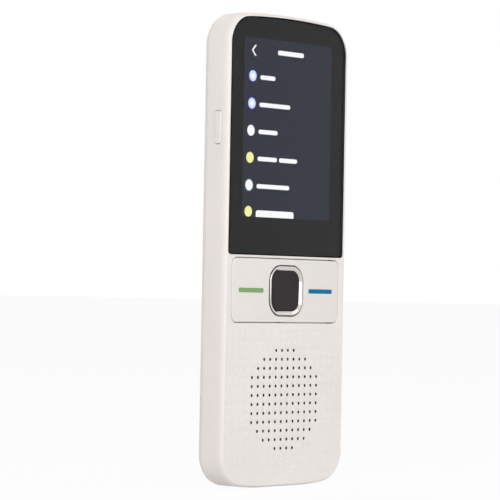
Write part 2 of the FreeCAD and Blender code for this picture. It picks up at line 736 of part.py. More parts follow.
def make_display():
    """The cover lens, the ring that bonds it, and the display module behind it."""
    lens = new_body("display_window")
    pane = pad(lens, "lens", FRONT, WINDOW_BACK, lambda d: d.window("0"))
    round_edges(lens, "lens_edge", pane, edges_at(lens.Shape, number(FRONT)), "lens_bevel", "Chamfer")
    keep(lens)

    ring = new_body("window_adhesive")
    pad(ring, "bond", WINDOW_BACK, LEDGE_FRONT, lambda d: d.window("0.3"))
    pocket(
        ring, "bond_opening", f"{WINDOW_BACK} - 1", f"{LEDGE_FRONT} + 1",
        lambda d: d.rectangle(
            "0", f"{MODULE_BOTTOM} + {MODULE_HEIGHT}/2", f"{MODULE_WIDTH} + 2 * module_gap + 0.2",
            f"{MODULE_HEIGHT} + 2 * module_gap + 0.2", "module_corner + 1.4",
        ),
    )
    keep(ring)

    inner_x, inner_z = f"({MODULE_WIDTH}/2 - tray_sheet)", f"({MODULE_BOTTOM} + tray_sheet)"
    width, height = f"{MODULE_WIDTH} - 2 * tray_sheet", f"{MODULE_HEIGHT} - 2 * tray_sheet"
    keep(block("lcd_panel", f"0 - {inner_x}", WINDOW_BACK, inner_z, width, "panel_thickness", height))
    keep(block("lcd_backlight", f"0 - {inner_x}", PANEL_BACK, inner_z, width, "backlight_thickness", height))
    outer = block(
        "tray_outer", f"0 - {MODULE_WIDTH}/2", f"{WINDOW_BACK} + 0.4", MODULE_BOTTOM,
        MODULE_WIDTH, f"{TRAY_BACK} - {WINDOW_BACK} - 0.4", MODULE_HEIGHT,
    )
    inner = block(
        "tray_inner", f"0 - {inner_x}", FRONT, inner_z,
        width, f"{TRAY_BACK} - tray_sheet - {FRONT}", height,
    )
    keep(cut("lcd_tray", outer, inner))
    keep(
        block(
            "lcd_foam", f"0 - {BATTERY_WIDTH}/2 + 2", TRAY_BACK, f"{BATTERY_BOTTOM} + 2",
            f"{BATTERY_WIDTH} - 4", "foam_thickness", f"{BATTERY_HEIGHT} - 6",
        )
    )
    on_tray = block(
        "ribbon_tray_end", "0 - ribbon_width/2", TRAY_BACK, f"{BOARD_TOP} + ribbon_sheet",
        "ribbon_width", "ribbon_sheet", "2.2",
    )
    over_edge = block(
        "ribbon_turn", "0 - ribbon_width/2", TRAY_BACK, f"{BOARD_TOP} + ribbon_sheet", "ribbon_width",
        "board_thickness + ribbon_sheet", "ribbon_sheet",
    )
    on_board = block(
        "ribbon_board_end", "0 - ribbon_width/2", BOARD_BACK, f"{BOARD_TOP} - 3",
        "ribbon_width", "ribbon_sheet", "3 + 2 * ribbon_sheet",
    )
    keep(fuse("display_ribbon", on_tray, over_edge, on_board))
    keep(
        block(
            "display_connector", "0 - ribbon_width/2 - 0.5", BOARD_BACK, f"{BOARD_TOP} - 4.5",
            "ribbon_width + 1", "1", "1.5",
        )
    )


def make_talk_rocker():
    """The panel that rocks about its middle, with its trunnions, posts and the hole for the centre key."""
    body = new_body("talk_rocker")
    plate = pad(
        body, "plate", FRONT, ROCKER_BACK,
        lambda d: d.rectangle("0", ROCKER_CENTRE, ROCKER_WIDTH, "rocker_height", "rocker_corner"),
    )
    round_edges(body, "plate_edge", plate, edges_at(body.Shape, number(FRONT)), "rocker_bevel", "Chamfer")
    pocket(
        body, "key_hole", f"{FRONT} - 1", f"{ROCKER_BACK} + 1",
        lambda d: d.rectangle(
            "0", ROCKER_CENTRE, f"{RING_WIDTH} + 2 * key_gap", f"{RING_HEIGHT} + 2 * key_gap",
            "ring_corner + key_gap",
        ),
    )

    def marks(drawing):
        for side in ("", "0 - "):
            drawing.rectangle(f"{side}mark_offset", ROCKER_CENTRE, "mark_length", "mark_height")

    pocket(body, "mark_seats", FRONT, f"{FRONT} + mark_depth", marks)

    def arms(drawing):
        for z in (f"{ROCKER_TOP} - arm_thickness/2", f"{ROCKER_FOOT} + arm_thickness/2"):
            drawing.rectangle("0", z, "arm_width", "arm_thickness")

    pad(body, "arms", f"{ROCKER_BACK} - 0.2", f"{TRUNNION_Y} + trunnion_diameter/2", arms)
    for name, low, high in (
        ("top", f"{ROCKER_TOP} - arm_thickness/2", f"{ROCKER_TOP} + trunnion_length"),
        ("foot", f"{ROCKER_FOOT} - trunnion_length", f"{ROCKER_FOOT} + arm_thickness/2"),
    ):
        pad(
            body, f"{name}_trunnion", low, high,
            lambda d: d.circle("0", TRUNNION_Y, "trunnion_diameter"), "XY",
        )
    pad(
        body, "posts", f"{ROCKER_BACK} - 0.2", f"{DOME_TOP} - rocker_throw - dome_clearance",
        mirrored_rounds("rocker_post_offset", ROCKER_CENTRE, "rocker_post_diameter"),
    )
    keep(body)
    for label, side in (("green_mark", "0 - "), ("blue_mark", "")):
        keep(
            block(
                label, f"{side}mark_offset - mark_length/2", FRONT, f"{ROCKER_CENTRE} - mark_height/2",
                "mark_length", "mark_depth", "mark_height",
            )
        )


def make_key_frame():
    """The steel frame on the board whose two cradles carry the panel's trunnions."""
    height = "(rocker_height + 2 * trunnion_length)"
    face = f"({BOARD_FRONT} - frame_sheet)"
    plate = block(
        "frame_plate", f"0 - {ROCKER_WIDTH}/2 + 1.5", face, f"{ROCKER_CENTRE} - {height}/2",
        f"{ROCKER_WIDTH} - 3", "frame_sheet", height,
    )
    windows = []
    for name, x in (("left", "0 - rocker_post_offset"), ("right", "rocker_post_offset")):
        windows.append(
            block(
                f"frame_{name}_window", f"{x} - dome_diameter/2 - 0.6", f"{face} - 1",
                f"{ROCKER_CENTRE} - dome_diameter/2 - 0.6", "dome_diameter + 1.2", "frame_sheet + 2",
                "dome_diameter + 1.2",
            )
        )
    windows.append(
        block(
            "frame_key_window", f"0 - {RING_WIDTH}/2 - flange_reach - 0.6", f"{face} - 1",
            f"{ROCKER_CENTRE} - {RING_HEIGHT}/2", f"{RING_WIDTH} + 2 * flange_reach + 1.2",
            "frame_sheet + 2", RING_HEIGHT,
        )
    )
    open_plate = cut("frame_open_plate", plate, fuse("frame_windows", *windows))
    cradles, bores = [], []
    bore = "(trunnion_diameter + 2 * trunnion_clearance)"
    for name, low in (
        ("top", f"{ROCKER_TOP} + trunnion_length - 1.4"),
        ("foot", f"{ROCKER_FOOT} - trunnion_length + 0.2"),
    ):
        top = f"({TRUNNION_Y} - trunnion_diameter/2 - 0.1)"
        cradles.append(block(f"{name}_cradle", "0 - 1.5", top, low, "3", f"{BOARD_FRONT} - {top}", "1.2"))
        bores.append(rod(f"{name}_bore", "0", TRUNNION_Y, f"{low} - 1", bore, "3.2", "z"))
        bores.append(
            block(
                f"{name}_mouth", f"0 - {bore}/2", f"{top} - 1", f"{low} - 1",
                bore, f"{TRUNNION_Y} - {top} + 1", "3.2",
            )
        )
    keep(cut("key_frame", fuse("frame_solid", open_plate, *cradles), fuse("frame_bores", *bores)))
    domes = [
        frustum(
            f"{name}_dome", x, DOME_TOP, ROCKER_CENTRE, "dome_diameter * 0.6", "dome_diameter",
            "dome_height", SMALL_SIDES,
        )
        for name, x in (("left", "0 - rocker_post_offset"), ("centre", "0"), ("right", "rocker_post_offset"))
    ]
    keep(group("key_domes", *domes))


def make_centre_key():
    """The bright ring and the dark cap inside it, which move as one key."""
    ring_back = f"({FRONT} - ring_proud + ring_depth)"
    ring = new_body("key_ring")
    whole = pad(
        ring, "ring_block", f"{FRONT} - ring_proud", ring_back,
        lambda d: d.rectangle("0", ROCKER_CENTRE, RING_WIDTH, RING_HEIGHT, "ring_corner"),
    )
    front = number(f"{FRONT} - ring_proud")
    round_edges(ring, "ring_outer_edge", whole, edges_at(ring.Shape, front), "ring_bevel", "Chamfer")
    pocket(
        ring, "ring_opening", f"{FRONT} - 1", f"{ring_back} + 1",
        lambda d: d.rectangle(
            "0", ROCKER_CENTRE, RING_INNER_WIDTH, RING_INNER_HEIGHT, "ring_inner_corner",
        ),
    )
    reach_x, reach_z = number(f"{RING_INNER_WIDTH}/2 + 0.01"), number(f"{RING_INNER_HEIGHT}/2 + 0.01")
    middle = number(ROCKER_CENTRE)

    def inside(edge):
        box = edge.BoundBox
        return max(box.XMax, -box.XMin) < reach_x and max(box.ZMax - middle, middle - box.ZMin) < reach_z

    opening = edges_at(ring.Shape, front, inside)
    round_edges(ring, "ring_inner_edge", ring.Tip, opening, "ring_bevel", "Chamfer")
    keep(ring)

    cap = new_body("key_cap")
    flange_back = f"({ring_back} + key_base_depth - 0.2)"
    pad(
        cap, "cap_base", ring_back, flange_back,
        lambda d: d.rectangle("0", ROCKER_CENTRE, RING_WIDTH, RING_HEIGHT, "ring_corner"),
    )
    crown = pad(
        cap, "cap_crown", f"{FRONT} + key_inset", f"{ring_back} + 0.3",
        lambda d: d.rectangle(
            "0", ROCKER_CENTRE, f"{RING_INNER_WIDTH} - 0.1", f"{RING_INNER_HEIGHT} - 0.1",
            "ring_inner_corner - 0.05",
        ),
    )
    face = number(f"{FRONT} + key_inset")
    round_edges(cap, "cap_edge", crown, edges_at(cap.Shape, face), "key_bevel", "Chamfer")
    pad(
        cap, "flange", f"{flange_back} - flange_thickness", flange_back,
        lambda d: d.rectangle("0", ROCKER_CENTRE, f"{RING_WIDTH} + 2 * flange_reach", f"{RING_HEIGHT} - 0.6"),
    )
    keep(cap)


def make_side_key():
    """The slim key in the side wall, its switch and the small board behind it."""
    key = new_body("side_key")
    cap = pad(
        key, "side_cap", "0 - body_width/2 - side_key_proud", f"0 - {KEY_FLANGE_OUT}",
        lambda d: d.rectangle(SIDE_KEY_Y, "side_key_centre", "side_key_width", "side_key_length", "0.7"),
        "YZ",
    )
    outer = number("0 - body_width/2 - side_key_proud")
    rim = [
        f"Edge{index}" for index, edge in enumerate(key.Shape.Edges, start=1)
        if abs(edge.BoundBox.XMax - outer) < 1e-6
    ]
    round_edges(key, "side_cap_edge", cap, rim, "side_key_bevel", "Chamfer")
    pad(
        key, "side_flange", f"0 - {KEY_FLANGE_OUT}", f"0 - {KEY_FLANGE_IN}",
        lambda d: d.rectangle(
            SIDE_KEY_Y, "side_key_centre", "side_key_width + 0.6", "side_key_length + 2 * side_key_flange",
        ),
        "YZ",
    )
    keep(key)
    body = block(
        "switch_body", f"0 - {SWITCH_OUT} + 0.3", f"{SIDE_KEY_Y} - side_switch_width/2",
        "side_key_centre - side_switch_length/2",
        "side_switch_height - 0.3", "side_switch_width", "side_switch_length",
    )
    button = rod(
        "switch_button", f"0 - {SWITCH_OUT}", SIDE_KEY_Y, "side_key_centre", "1.4", "0.4", "x", SMALL_SIDES,
    )
    keep(fuse("side_switch", body, button))
    keep(
        block(
            "side_switch_board", f"0 - {SWITCH_IN}", f"{LEDGE_BACK} + 0.05",
            "side_key_centre - side_board_length/2",
            "side_board_thickness", "side_board_width", "side_board_length",
        )
    )
    ribbon_foot = f"{BOARD_TOP} - 4"
    keep(
        block(
            "side_ribbon", f"0 - {SWITCH_BOARD_BACK}", f"{BOARD_BACK} + 0.3", ribbon_foot,
            "0.2", "1", f"side_key_centre - {ribbon_foot}",
        )
    )
    keep(
        block(
            "side_connector", f"0 - {SWITCH_BOARD_BACK} - 0.3", BOARD_BACK, f"{ribbon_foot} - 3",
            "3", "1.5", "3",
        )
    )


def make_speaker():
    """The round speaker behind the grille, from its dust mesh to the foam that the back presses on."""
    centre = SPEAKER_CENTRE
    keep(
        rod(
            "speaker_mesh", "0", INNER_FRONT, centre, "speaker_diameter", "mesh_thickness",
            "y", LARGE_SIDES,
        )
    )
    face = f"({INNER_FRONT} + mesh_thickness)"
    basket_front = f"({face} + gasket_thickness)"
    keep(
        cut(
            "speaker_gasket",
            rod("gasket_outer", "0", face, centre, "speaker_diameter", "gasket_thickness", "y", LARGE_SIDES),
            rod(
                "gasket_inner", "0", f"{face} - 1", centre, "speaker_diameter - 2 * gasket_width", "3",
                "y", LARGE_SIDES,
            ),
        )
    )
    keep(
        cut(
            "speaker_basket",
            rod(
                "basket_outer", "0", basket_front, centre, "speaker_diameter", "basket_depth",
                "y", LARGE_SIDES,
            ),
            rod(
                "basket_inner", "0", f"{basket_front} - 1", centre, "speaker_diameter - 2 * basket_wall",
                "basket_depth - basket_wall + 1", "y", LARGE_SIDES,
            ),
        )
    )
    rim, throat = "(speaker_diameter - 2 * basket_wall)", "(speaker_diameter/3)"
    cone_front = f"({basket_front} + 0.2)"
    hollow = frustum("cone_hollow", "0", cone_front, centre, rim, throat, "cone_depth", LARGE_SIDES)
    paper_front = f"{cone_front} + cone_sheet"
    paper = frustum("cone_paper", "0", paper_front, centre, rim, throat, "cone_depth", LARGE_SIDES)
    surround = rod("cone_surround", "0", cone_front, centre, rim, "cone_sheet", "y", LARGE_SIDES)
    keep(cut("speaker_cone", fuse("cone_solid", surround, paper), hollow))
    magnet_front = f"({basket_front} + basket_depth)"
    keep(
        rod(
            "speaker_magnet", "0", magnet_front, centre, "magnet_diameter", "magnet_depth",
            "y", LARGE_SIDES,
        )
    )
    pad_front = f"({magnet_front} + magnet_depth)"
    keep(
        rod(
            "speaker_foam", "0", pad_front, centre, "magnet_diameter - 2", f"{INNER_BACK} - {pad_front}",
            "y", LARGE_SIDES,
        )
    )


def make_main_board():
    """The main board with the chips on its back and the four screws that hold it."""
    body = new_body("main_board")
    pad(
        body, "board_sheet", BOARD_FRONT, BOARD_BACK,
        lambda d: d.rectangle(
            "0", f"({BOARD_BOTTOM} + {BOARD_TOP})/2", BOARD_WIDTH, f"{BOARD_TOP} - {BOARD_BOTTOM}",
        ),
    )
    for name, x, z, start in BOSSES:
        pocket(
            body, f"{name}_screw_holes", f"{BOARD_FRONT} - 1", f"{BOARD_BACK} + 1",
            mirrored_rounds(x, z, "screw_diameter + 0.2"),
        )
    keep(body)
    screws = []
    for name, x, z, start in BOSSES:
        for side, sign in (("left", "0 - "), ("right", "")):
            where = f"{sign}{x}"
            shank = rod(
                f"{name}_{side}_shank", where, f"{BOARD_BACK} - screw_length", z,
                "screw_diameter - 0.1", "screw_length", "y", SMALL_SIDES,
            )
            head = rod(
                f"{name}_{side}_head", where, BOARD_BACK, z,
                "screw_head_diameter", "screw_head_height", "y", SMALL_SIDES,
            )
            screws.append(fuse(f"{name}_{side}_screw", shank, head))
    keep(group("board_screws", *screws))
    for label, x, z, width, depth, height in (
        (
            "processor_shield", "0 - shield_left", "shield_rise",
            "shield_width", "shield_depth", "shield_height",
        ),
        ("memory_chip", MEMORY_X, "memory_rise", "memory_width", "memory_depth", "memory_height"),
        (
            "wireless_module", WIRELESS_X, "wireless_rise",
            "wireless_width", "wireless_depth", "wireless_height",
        ),
        ("power_chip", "0 - power_left", "power_rise", "power_size", "power_depth", "power_size"),
    ):
        keep(block(label, x, BOARD_BACK, f"{BOARD_BOTTOM} + {z}", width, depth, height))
    keep(
        block(
            "battery_connector", f"{LEAD_X} - 0.5 - connector_width/4", BOARD_BACK,
            f"{BOARD_TOP} - 2 - connector_height",
            "connector_width", "connector_depth", "connector_height",
        )
    )


def make_charging():
    """The charging socket at the bottom end, its board, the microphone and the ribbon to the main board."""
    shell = new_body("charge_socket_shell")

    def oval(less):
        return lambda d: d.rectangle(
            "0", SOCKET_Y, f"socket_width - 2 * {less}", f"socket_height - 2 * {less}",
            f"socket_height/2 - {less} - 0.05",
        )

    start, end = "socket_recess", "(socket_recess + socket_length)"
    pad(shell, "shell_block", start, end, oval("0"), "XY")
    pocket(shell, "shell_bore", f"{start} - 1", f"{end} - 1", oval("socket_sheet"), "XY")
    keep(shell)
    keep(
        block(
            "charge_socket_tongue", "0 - tongue_width/2", f"{SOCKET_Y} - tongue_thickness/2",
            "socket_recess + 0.6", "tongue_width", "tongue_thickness", "socket_length - 1.6",
        )
    )
    face = "(socket_height/2)"
    foot = "charge_board_bottom"
    keep(
        block(
            "charge_board", "0 - charge_board_width/2", face, foot,
            "charge_board_width", "charge_board_thickness", "charge_board_height",
        )
    )
    keep(
        block(
            "microphone", f"{MICROPHONE_X} - microphone_size/2", f"{face} - 1.1", f"{foot} + 0.4",
            "microphone_size", "1.1", "microphone_size",
        )
    )
    boot_size = "(microphone_size - 0.2)"
    boot = block(
        "boot_solid", f"{MICROPHONE_X} - {boot_size}/2", f"{face} - 1.2", "side_wall + 0.5",
        boot_size, "1.2", f"{foot} + 0.4 - side_wall - 0.5",
    )
    hole = rod(
        "boot_hole", MICROPHONE_X, f"{SOCKET_Y} + 1", "0", "microphone_hole - 0.2", f"{foot} + 2",
        "z", SMALL_SIDES,
    )
    keep(cut("microphone_boot", boot, hole))
    strip = "0.2"
    keep(
        block(
            "board_ribbon", STRIP_X, f"{face} - {strip}", f"{foot} + 4.4",
            "strip_width", strip, f"{BOARD_BOTTOM} + 6 - {foot} - 4.4",
        )
    )
    keep(
        block(
            "ribbon_connector", STRIP_X, BOARD_BACK, f"{BOARD_BOTTOM} + 3",
            "strip_width", f"{face} - {strip} - {BOARD_BACK}", "3",
        )
    )


def make_battery():
    """The flat cell behind the display, its tape and its two leads, and the aerial above it."""
    cell = new_body("battery_cell")
    near = f"({TRAY_BACK} + foam_thickness)"
    far = f"({INNER_BACK} - tape_thickness)"
    pad(
        cell, "cell_block", near, far,
        lambda d: d.rectangle(
            "0", f"{BATTERY_BOTTOM} + {BATTERY_HEIGHT}/2", BATTERY_WIDTH, BATTERY_HEIGHT, "2",
        ),
    )
    keep(cell)
    keep(
        block(
            "battery_tape", f"0 - {BATTERY_WIDTH}/2 + 4", far, f"{BATTERY_BOTTOM} + 5",
            f"{BATTERY_WIDTH} - 8", "tape_thickness", f"{BATTERY_HEIGHT} - 10",
        )
    )
    board_foot = f"({BATTERY_BOTTOM} - protection_height)"
    lead_y = f"({BOARD_BACK} + 1)"
    keep(
        block(
            "battery_board", "1 - protection_width/2", f"{near} + 0.5", board_foot,
            "protection_width", "protection_depth", "protection_height",
        )
    )
    foot = f"({BOARD_TOP} - 2)"
    leads = [
        rod(f"{name}_lead", x, lead_y, foot, "lead_diameter", f"{board_foot} - {foot}", "z", SMALL_SIDES)
        for name, x in (("plus", LEAD_X), ("minus", f"{LEAD_X} + lead_spacing"))
    ]
    keep(group("battery_leads", *leads))
    keep(
        block(
            "aerial", "0 - aerial_width/2", f"{INNER_BACK} - ribbon_sheet", "body_height - aerial_drop",
            "aerial_width", "ribbon_sheet", "aerial_height",
        )
    )


def check_and_write():
    """Stops on any failed object or shape, then writes one file for each node."""
    doc.recompute()
    for item in doc.Objects:
        if {"Invalid", "Error"} & set(item.State):
            raise RuntimeError(f"{item.Label} is {item.State}")
    for node in NODES:
        shape = node.Shape
        if shape.isNull() or not shape.isValid() or not shape.Solids:
            raise RuntimeError(f"{node.Label} has no sound shape")
    os.makedirs("parts", exist_ok=True)
    for node in NODES:
        node.Shape.exportStep(f"parts/{node.Label}.step")
    whole = Part.makeCompound([node.Shape for node in NODES]).BoundBox
    print(f"{len(NODES)} nodes, {whole.XLength:.2f} x {whole.YLength:.2f} x {whole.ZLength:.2f} mm")


make_front_housing()
make_rear_cover()
make_display()
make_talk_rocker()
make_key_frame()
make_centre_key()
make_side_key()
make_speaker()
make_main_board()
make_charging()
make_battery()
check_and_write()
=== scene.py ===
"""Looks of the handheld translator.

A moulded case, a glass window with its lit menu, a chrome-ringed key and a drilled grille.

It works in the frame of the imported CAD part: metres, X across, +Z up, the front looking towards -Y.
Lengths in this file are millimetres up to the point where a mesh is made, apart from the stage's.
"""

import math

import bmesh
import bpy
from mathutils import Matrix, Vector
from mathutils.geometry import delaunay_2d_cdt


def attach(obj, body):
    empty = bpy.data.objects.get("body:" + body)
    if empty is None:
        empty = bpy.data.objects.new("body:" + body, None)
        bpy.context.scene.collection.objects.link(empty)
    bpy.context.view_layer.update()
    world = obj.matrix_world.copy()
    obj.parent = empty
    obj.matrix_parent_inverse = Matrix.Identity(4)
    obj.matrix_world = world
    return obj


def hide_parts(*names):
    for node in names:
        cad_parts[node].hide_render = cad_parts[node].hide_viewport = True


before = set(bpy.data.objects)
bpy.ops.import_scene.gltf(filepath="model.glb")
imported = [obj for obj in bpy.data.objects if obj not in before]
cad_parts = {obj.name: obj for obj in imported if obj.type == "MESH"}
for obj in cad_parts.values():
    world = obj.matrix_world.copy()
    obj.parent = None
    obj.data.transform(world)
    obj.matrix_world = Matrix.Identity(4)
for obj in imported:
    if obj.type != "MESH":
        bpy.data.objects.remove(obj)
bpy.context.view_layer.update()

MM = 0.001
QUARTER, HALF = math.pi / 2, math.pi

# The smallest angle between two faces that is drawn as a crisp edge
CRISP = math.radians(32)

# Case, as in the part's source. Places along Y: the front face, the back face and the parting line.
HALF_WIDTH, HEIGHT = 25.25, 130.0
FRONT, BACK, PARTING = -5.0, 5.0, 3.5
WALL = 1.2
TOP_CORNER, FOOT_CORNER = 9.0, 8.5
TOP_CROWN, FOOT_CROWN = 230.0, 75.0  # radii of the crowned ends
LAND = 8.0  # half of the flat that the case stands on
CROWN_Z = HEIGHT - TOP_CROWN  # centre of the top's crown, and of the window's
FRONT_REACH, FRONT_RISE = 0.8, 1.9  # front edge's rounding, inwards and along the case's depth
REAR_ROUND = 3.0
INNER_FRONT, INNER_BACK = FRONT + WALL, BACK - WALL

# Window, and the ledge that it sits on
WINDOW_HALF, WINDOW_FOOT, WINDOW_TOP = 24.0, 63.55, 128.95
WINDOW_CORNER, WINDOW_FOOT_CORNER = 7.7, 1.0
WINDOW_GAP = 0.08
SEAT, LEDGE_BACK = -4.05, -3.05

# Screen module behind the window, and the part of it that is lit
MODULE_WIDTH, MODULE_HEIGHT, MODULE_Z, MODULE_GAP = 42.2, 59.8, 95.05, 0.55
SCREEN_WIDTH, SCREEN_HEIGHT, SCREEN_Z = 36.72, 48.96, 98.35

# Talk panel, its marks, and the key in its middle
PANEL_WIDTH, PANEL_HEIGHT, PANEL_CORNER, PANEL_GAP = 44.5, 17.4, 2.0, 0.25
PANEL_Z, PANEL_BACK = 53.9, -3.9
MARK_X, MARK_WIDTH, MARK_HEIGHT, MARK_GAP, MARK_FLOOR = 14.5, 10.0, 1.15, 0.05, -4.65
KEY_WIDTH, KEY_HEIGHT, KEY_CORNER, KEY_GAP = 13.9, 13.7, 4.5, 0.28

# Grille: the pitch of its square grid, and the hole's radius
SPEAKER_Z, PITCH, HOLE = 24.0, 2.45, 0.44

# Side key: its middle, its size and its gaps along the sides and at the ends
SIDE_KEY_Y, SIDE_KEY_Z = -1.55, 97.7
SIDE_KEY_WIDTH, SIDE_KEY_LENGTH, SIDE_KEY_CORNER = 2.2, 8.9, 0.7
SIDE_KEY_GAP, SIDE_KEY_END_GAP = 0.07, 0.17

# Charging socket's mouth and microphone's port, both in the foot
PORT_WIDTH, PORT_DEPTH, PORT_CORNER = 9.44, 3.7, 1.8
MICROPHONE_X, MICROPHONE_Y, MICROPHONE_RADIUS = 15.0, 1.0, 0.5


# Outlines: each gives the points of a closed line in X and Z, anticlockwise, drawn in by an inset

CORNER_STEPS, CROWN_STEPS, FOOT_STEPS = 18, 12, 5
LEAST_CORNER = 0.02


def turn(x, z, radius, start, stop, steps):
    """Points on an arc, without its last one."""
    angles = [start + (stop - start) * k / steps for k in range(steps)]
    return [(x + radius * math.cos(a), z + radius * math.sin(a)) for a in angles]


def mirrored(right):
    """The right half's points from the foot to the top, and their mirror images."""
    return right + [(-x, z) for x, z in reversed(right)]


def crowned_top(half_width, crown, corner, inset):
    """The height where a crowned top's right corner starts, and the points from there to the middle."""
    corner_x = half_width - corner
    corner_z = CROWN_Z + math.sqrt((crown - corner) ** 2 - corner_x ** 2)
    lean = math.atan2(corner_z - CROWN_Z, corner_x)
    points = turn(corner_x, corner_z, corner - inset, 0, lean, CORNER_STEPS)
    points += turn(0, CROWN_Z, crown - inset, lean, QUARTER, CROWN_STEPS)
    return corner_z, points


def foot_corner_centre():
    """The centre of the case's right foot corner."""
    x = HALF_WIDTH - FOOT_CORNER
    return x, FOOT_CROWN - math.sqrt((FOOT_CROWN - FOOT_CORNER) ** 2 - (x - LAND) ** 2)


def straight(x, low, high, steps):
    """Points up a straight side, without its last one."""
    return [(x, low + (high - low) * k / steps) for k in range(steps)]


def case_outline(inset):
    """The case from the front: a crowned top, straight sides, and a foot that curves up from a flat land."""
    foot_x, foot_z = foot_corner_centre()
    slope = math.atan2(foot_z - FOOT_CROWN, foot_x - LAND)
    top_z, top = crowned_top(HALF_WIDTH, TOP_CROWN, TOP_CORNER, inset)
    right = [(LAND / 2, inset)]
    right += turn(LAND, FOOT_CROWN, FOOT_CROWN - inset, -QUARTER, slope, FOOT_STEPS)
    right += turn(foot_x, foot_z, FOOT_CORNER - inset, slope, 0, CORNER_STEPS)
    right += straight(HALF_WIDTH - inset, foot_z, top_z, 8)
    return mirrored(right + top)


def window_outline(inset):
    """The window's pane, whose top runs beside the case's."""
    foot_x, foot_z = WINDOW_HALF - WINDOW_FOOT_CORNER, WINDOW_FOOT + WINDOW_FOOT_CORNER
    top_z, top = crowned_top(WINDOW_HALF, WINDOW_TOP - CROWN_Z, WINDOW_CORNER, inset)
    right = turn(foot_x, foot_z, WINDOW_FOOT_CORNER - inset, -QUARTER, 0, 6)
    right += straight(WINDOW_HALF - inset, foot_z, top_z, 4)
    return mirrored(right + top)


def rounded(width, height, corner, x=0.0, z=0.0, steps=8):
    """An outline function for a rectangle with round corners."""

    def outline(inset):
        a, b, r = width / 2 - inset, height / 2 - inset, max(corner - inset, LEAST_CORNER)
        points = turn(x + a - r, z - b + r, r, -QUARTER, 0, steps)
        points += turn(x + a - r, z + b - r, r, 0, QUARTER, steps)
        points += turn(x - a + r, z + b - r, r, QUARTER, HALF, steps)
        points += turn(x - a + r, z - b + r, r, HALF, 3 * QUARTER, steps)
        return points

    return outline


def circle(x, z, radius, sides):
    return lambda inset: turn(x, z, radius - inset, 0, 2 * HALF, sides)


def quarter(inset, depth, reach, rise, steps=6):
    """A quarter round as (inset, depth) pairs, from a side wall's end to the flat in front of it."""
    angles = [QUARTER * k / steps for k in range(steps + 1)]
    return [(inset + reach * (1 - math.cos(a)), depth - rise * math.sin(a)) for a in angles]


def rear_round(degrees):
    """Points on the rear edge's rounding as (inset, depth) pairs, at angles from the side wall."""
    angles = [math.radians(a) for a in degrees]
    centre = BACK - REAR_ROUND
    return [(REAR_ROUND * (1 - math.cos(a)), centre + REAR_ROUND * math.sin(a)) for a in angles]


class Skin:
    """A mesh made of rings of points joined by bands and closed by flat triangulated faces."""

    FLAT_AXES = {"x": (1, 2), "y": (0, 2), "z": (0, 1)}
    TOLERANCE = 1e-5

    def __init__(self, axis="y"):
        self.mesh = bmesh.new()
        self.axis = axis

    def ring(self, points, depth):
        """One closed line of vertices at a depth along the skin's axis."""
        if self.axis == "y":
            spots = [(x, depth, z) for x, z in points]
        elif self.axis == "x":
            spots = [(depth, y, z) for y, z in points]
        else:
            spots = [(x, y, depth) for x, y in points]
        return [self.mesh.verts.new([c * MM for c in spot]) for spot in spots]

    def band(self, one, other, finish=0):
        """A band of faces between two rings of as many points."""
        for i in range(len(one)):
            j = (i + 1) % len(one)
            self.mesh.faces.new((one[i], one[j], other[j], other[i])).material_index = finish

    def stack(self, outline, profile, finish=0):
        """Rings of one outline at (inset, depth) pairs, each joined to the next.

        Gives the first and the last ring.
        """
        rings = [self.ring(outline(inset), depth) for inset, depth in profile]
        for one, other in zip(rings, rings[1:]):
            self.band(one, other, finish)
        return rings[0], rings[-1]

    def flat(self, outer, holes=(), finish=0):
        """Fills the plane inside a ring and outside others, which are all convex."""
        across, along = self.FLAT_AXES[self.axis]
        corners, edges, loop_of = [], [], []
        for number, loop in enumerate([outer, *holes]):
            start = len(corners)
            corners += loop
            loop_of += [number] * len(loop)
            edges += [(start + i, start + (i + 1) % len(loop)) for i in range(len(loop))]
        plane = [Vector((v.co[across], v.co[along])) / MM for v in corners]
        found = delaunay_2d_cdt(plane, edges, [], 1, self.TOLERANCE)
        source = [origin[0] for origin in found[3]]
        for triangle in found[2]:
            ids = [source[i] for i in triangle]
            if len({loop_of[i] for i in ids}) == 1 and loop_of[ids[0]] > 0:
                continue
            self.mesh.faces.new([corners[i] for i in ids]).material_index = finish

    def solid(self, outline, profile, finish=0):
        """A closed form: a stack with a flat face on each end."""
        first, last = self.stack(outline, profile, finish)
        self.flat(first, finish=finish)
        self.flat(last, finish=finish)

    def hoop(self, outline, profile, finish=0):
        """A closed ring whose section is the profile."""
        rings = [self.ring(outline(inset), depth) for inset, depth in profile]
        for one, other in zip(rings, rings[1:] + rings[:1]):
            self.band(one, other, finish)

    def build(self, name, body, materials, replaces=()):
        """Makes the piece, lets it ride on a body and hides the part's nodes that it replaces."""
        bmesh.ops.recalc_face_normals(self.mesh, faces=self.mesh.faces)
        mark_crisp(self.mesh)
        data = bpy.data.meshes.new(name)
        self.mesh.to_mesh(data)
        self.mesh.free()
        piece = bpy.data.objects.new(name, data)
        bpy.context.scene.collection.objects.link(piece)
        for material in materials:
            data.materials.append(material)
        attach(piece, body)
        if replaces:
            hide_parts(*replaces)
        return piece


def mark_crisp(mesh):
    """Shades a mesh smooth, apart from its crisp edges."""
    for face in mesh.faces:
        face.smooth = True
    for edge in mesh.edges:
        edge.smooth = not (len(edge.link_faces) == 2 and edge.calc_face_angle() > CRISP)


# Materials

NOISE_LOW, NOISE_HIGH = 0.3, 0.7  # the range that most of a noise's values are in


def linear(red, green, blue):
    """A screen colour, 0 to 255, as the shader's linear one, by the sRGB curve."""
    shares = [level / 255 for level in (red, green, blue)]
    return tuple(((s + 0.055) / 1.055) ** 2.4 if s > 0.04045 else s / 12.92 for s in shares) + (1.0,)


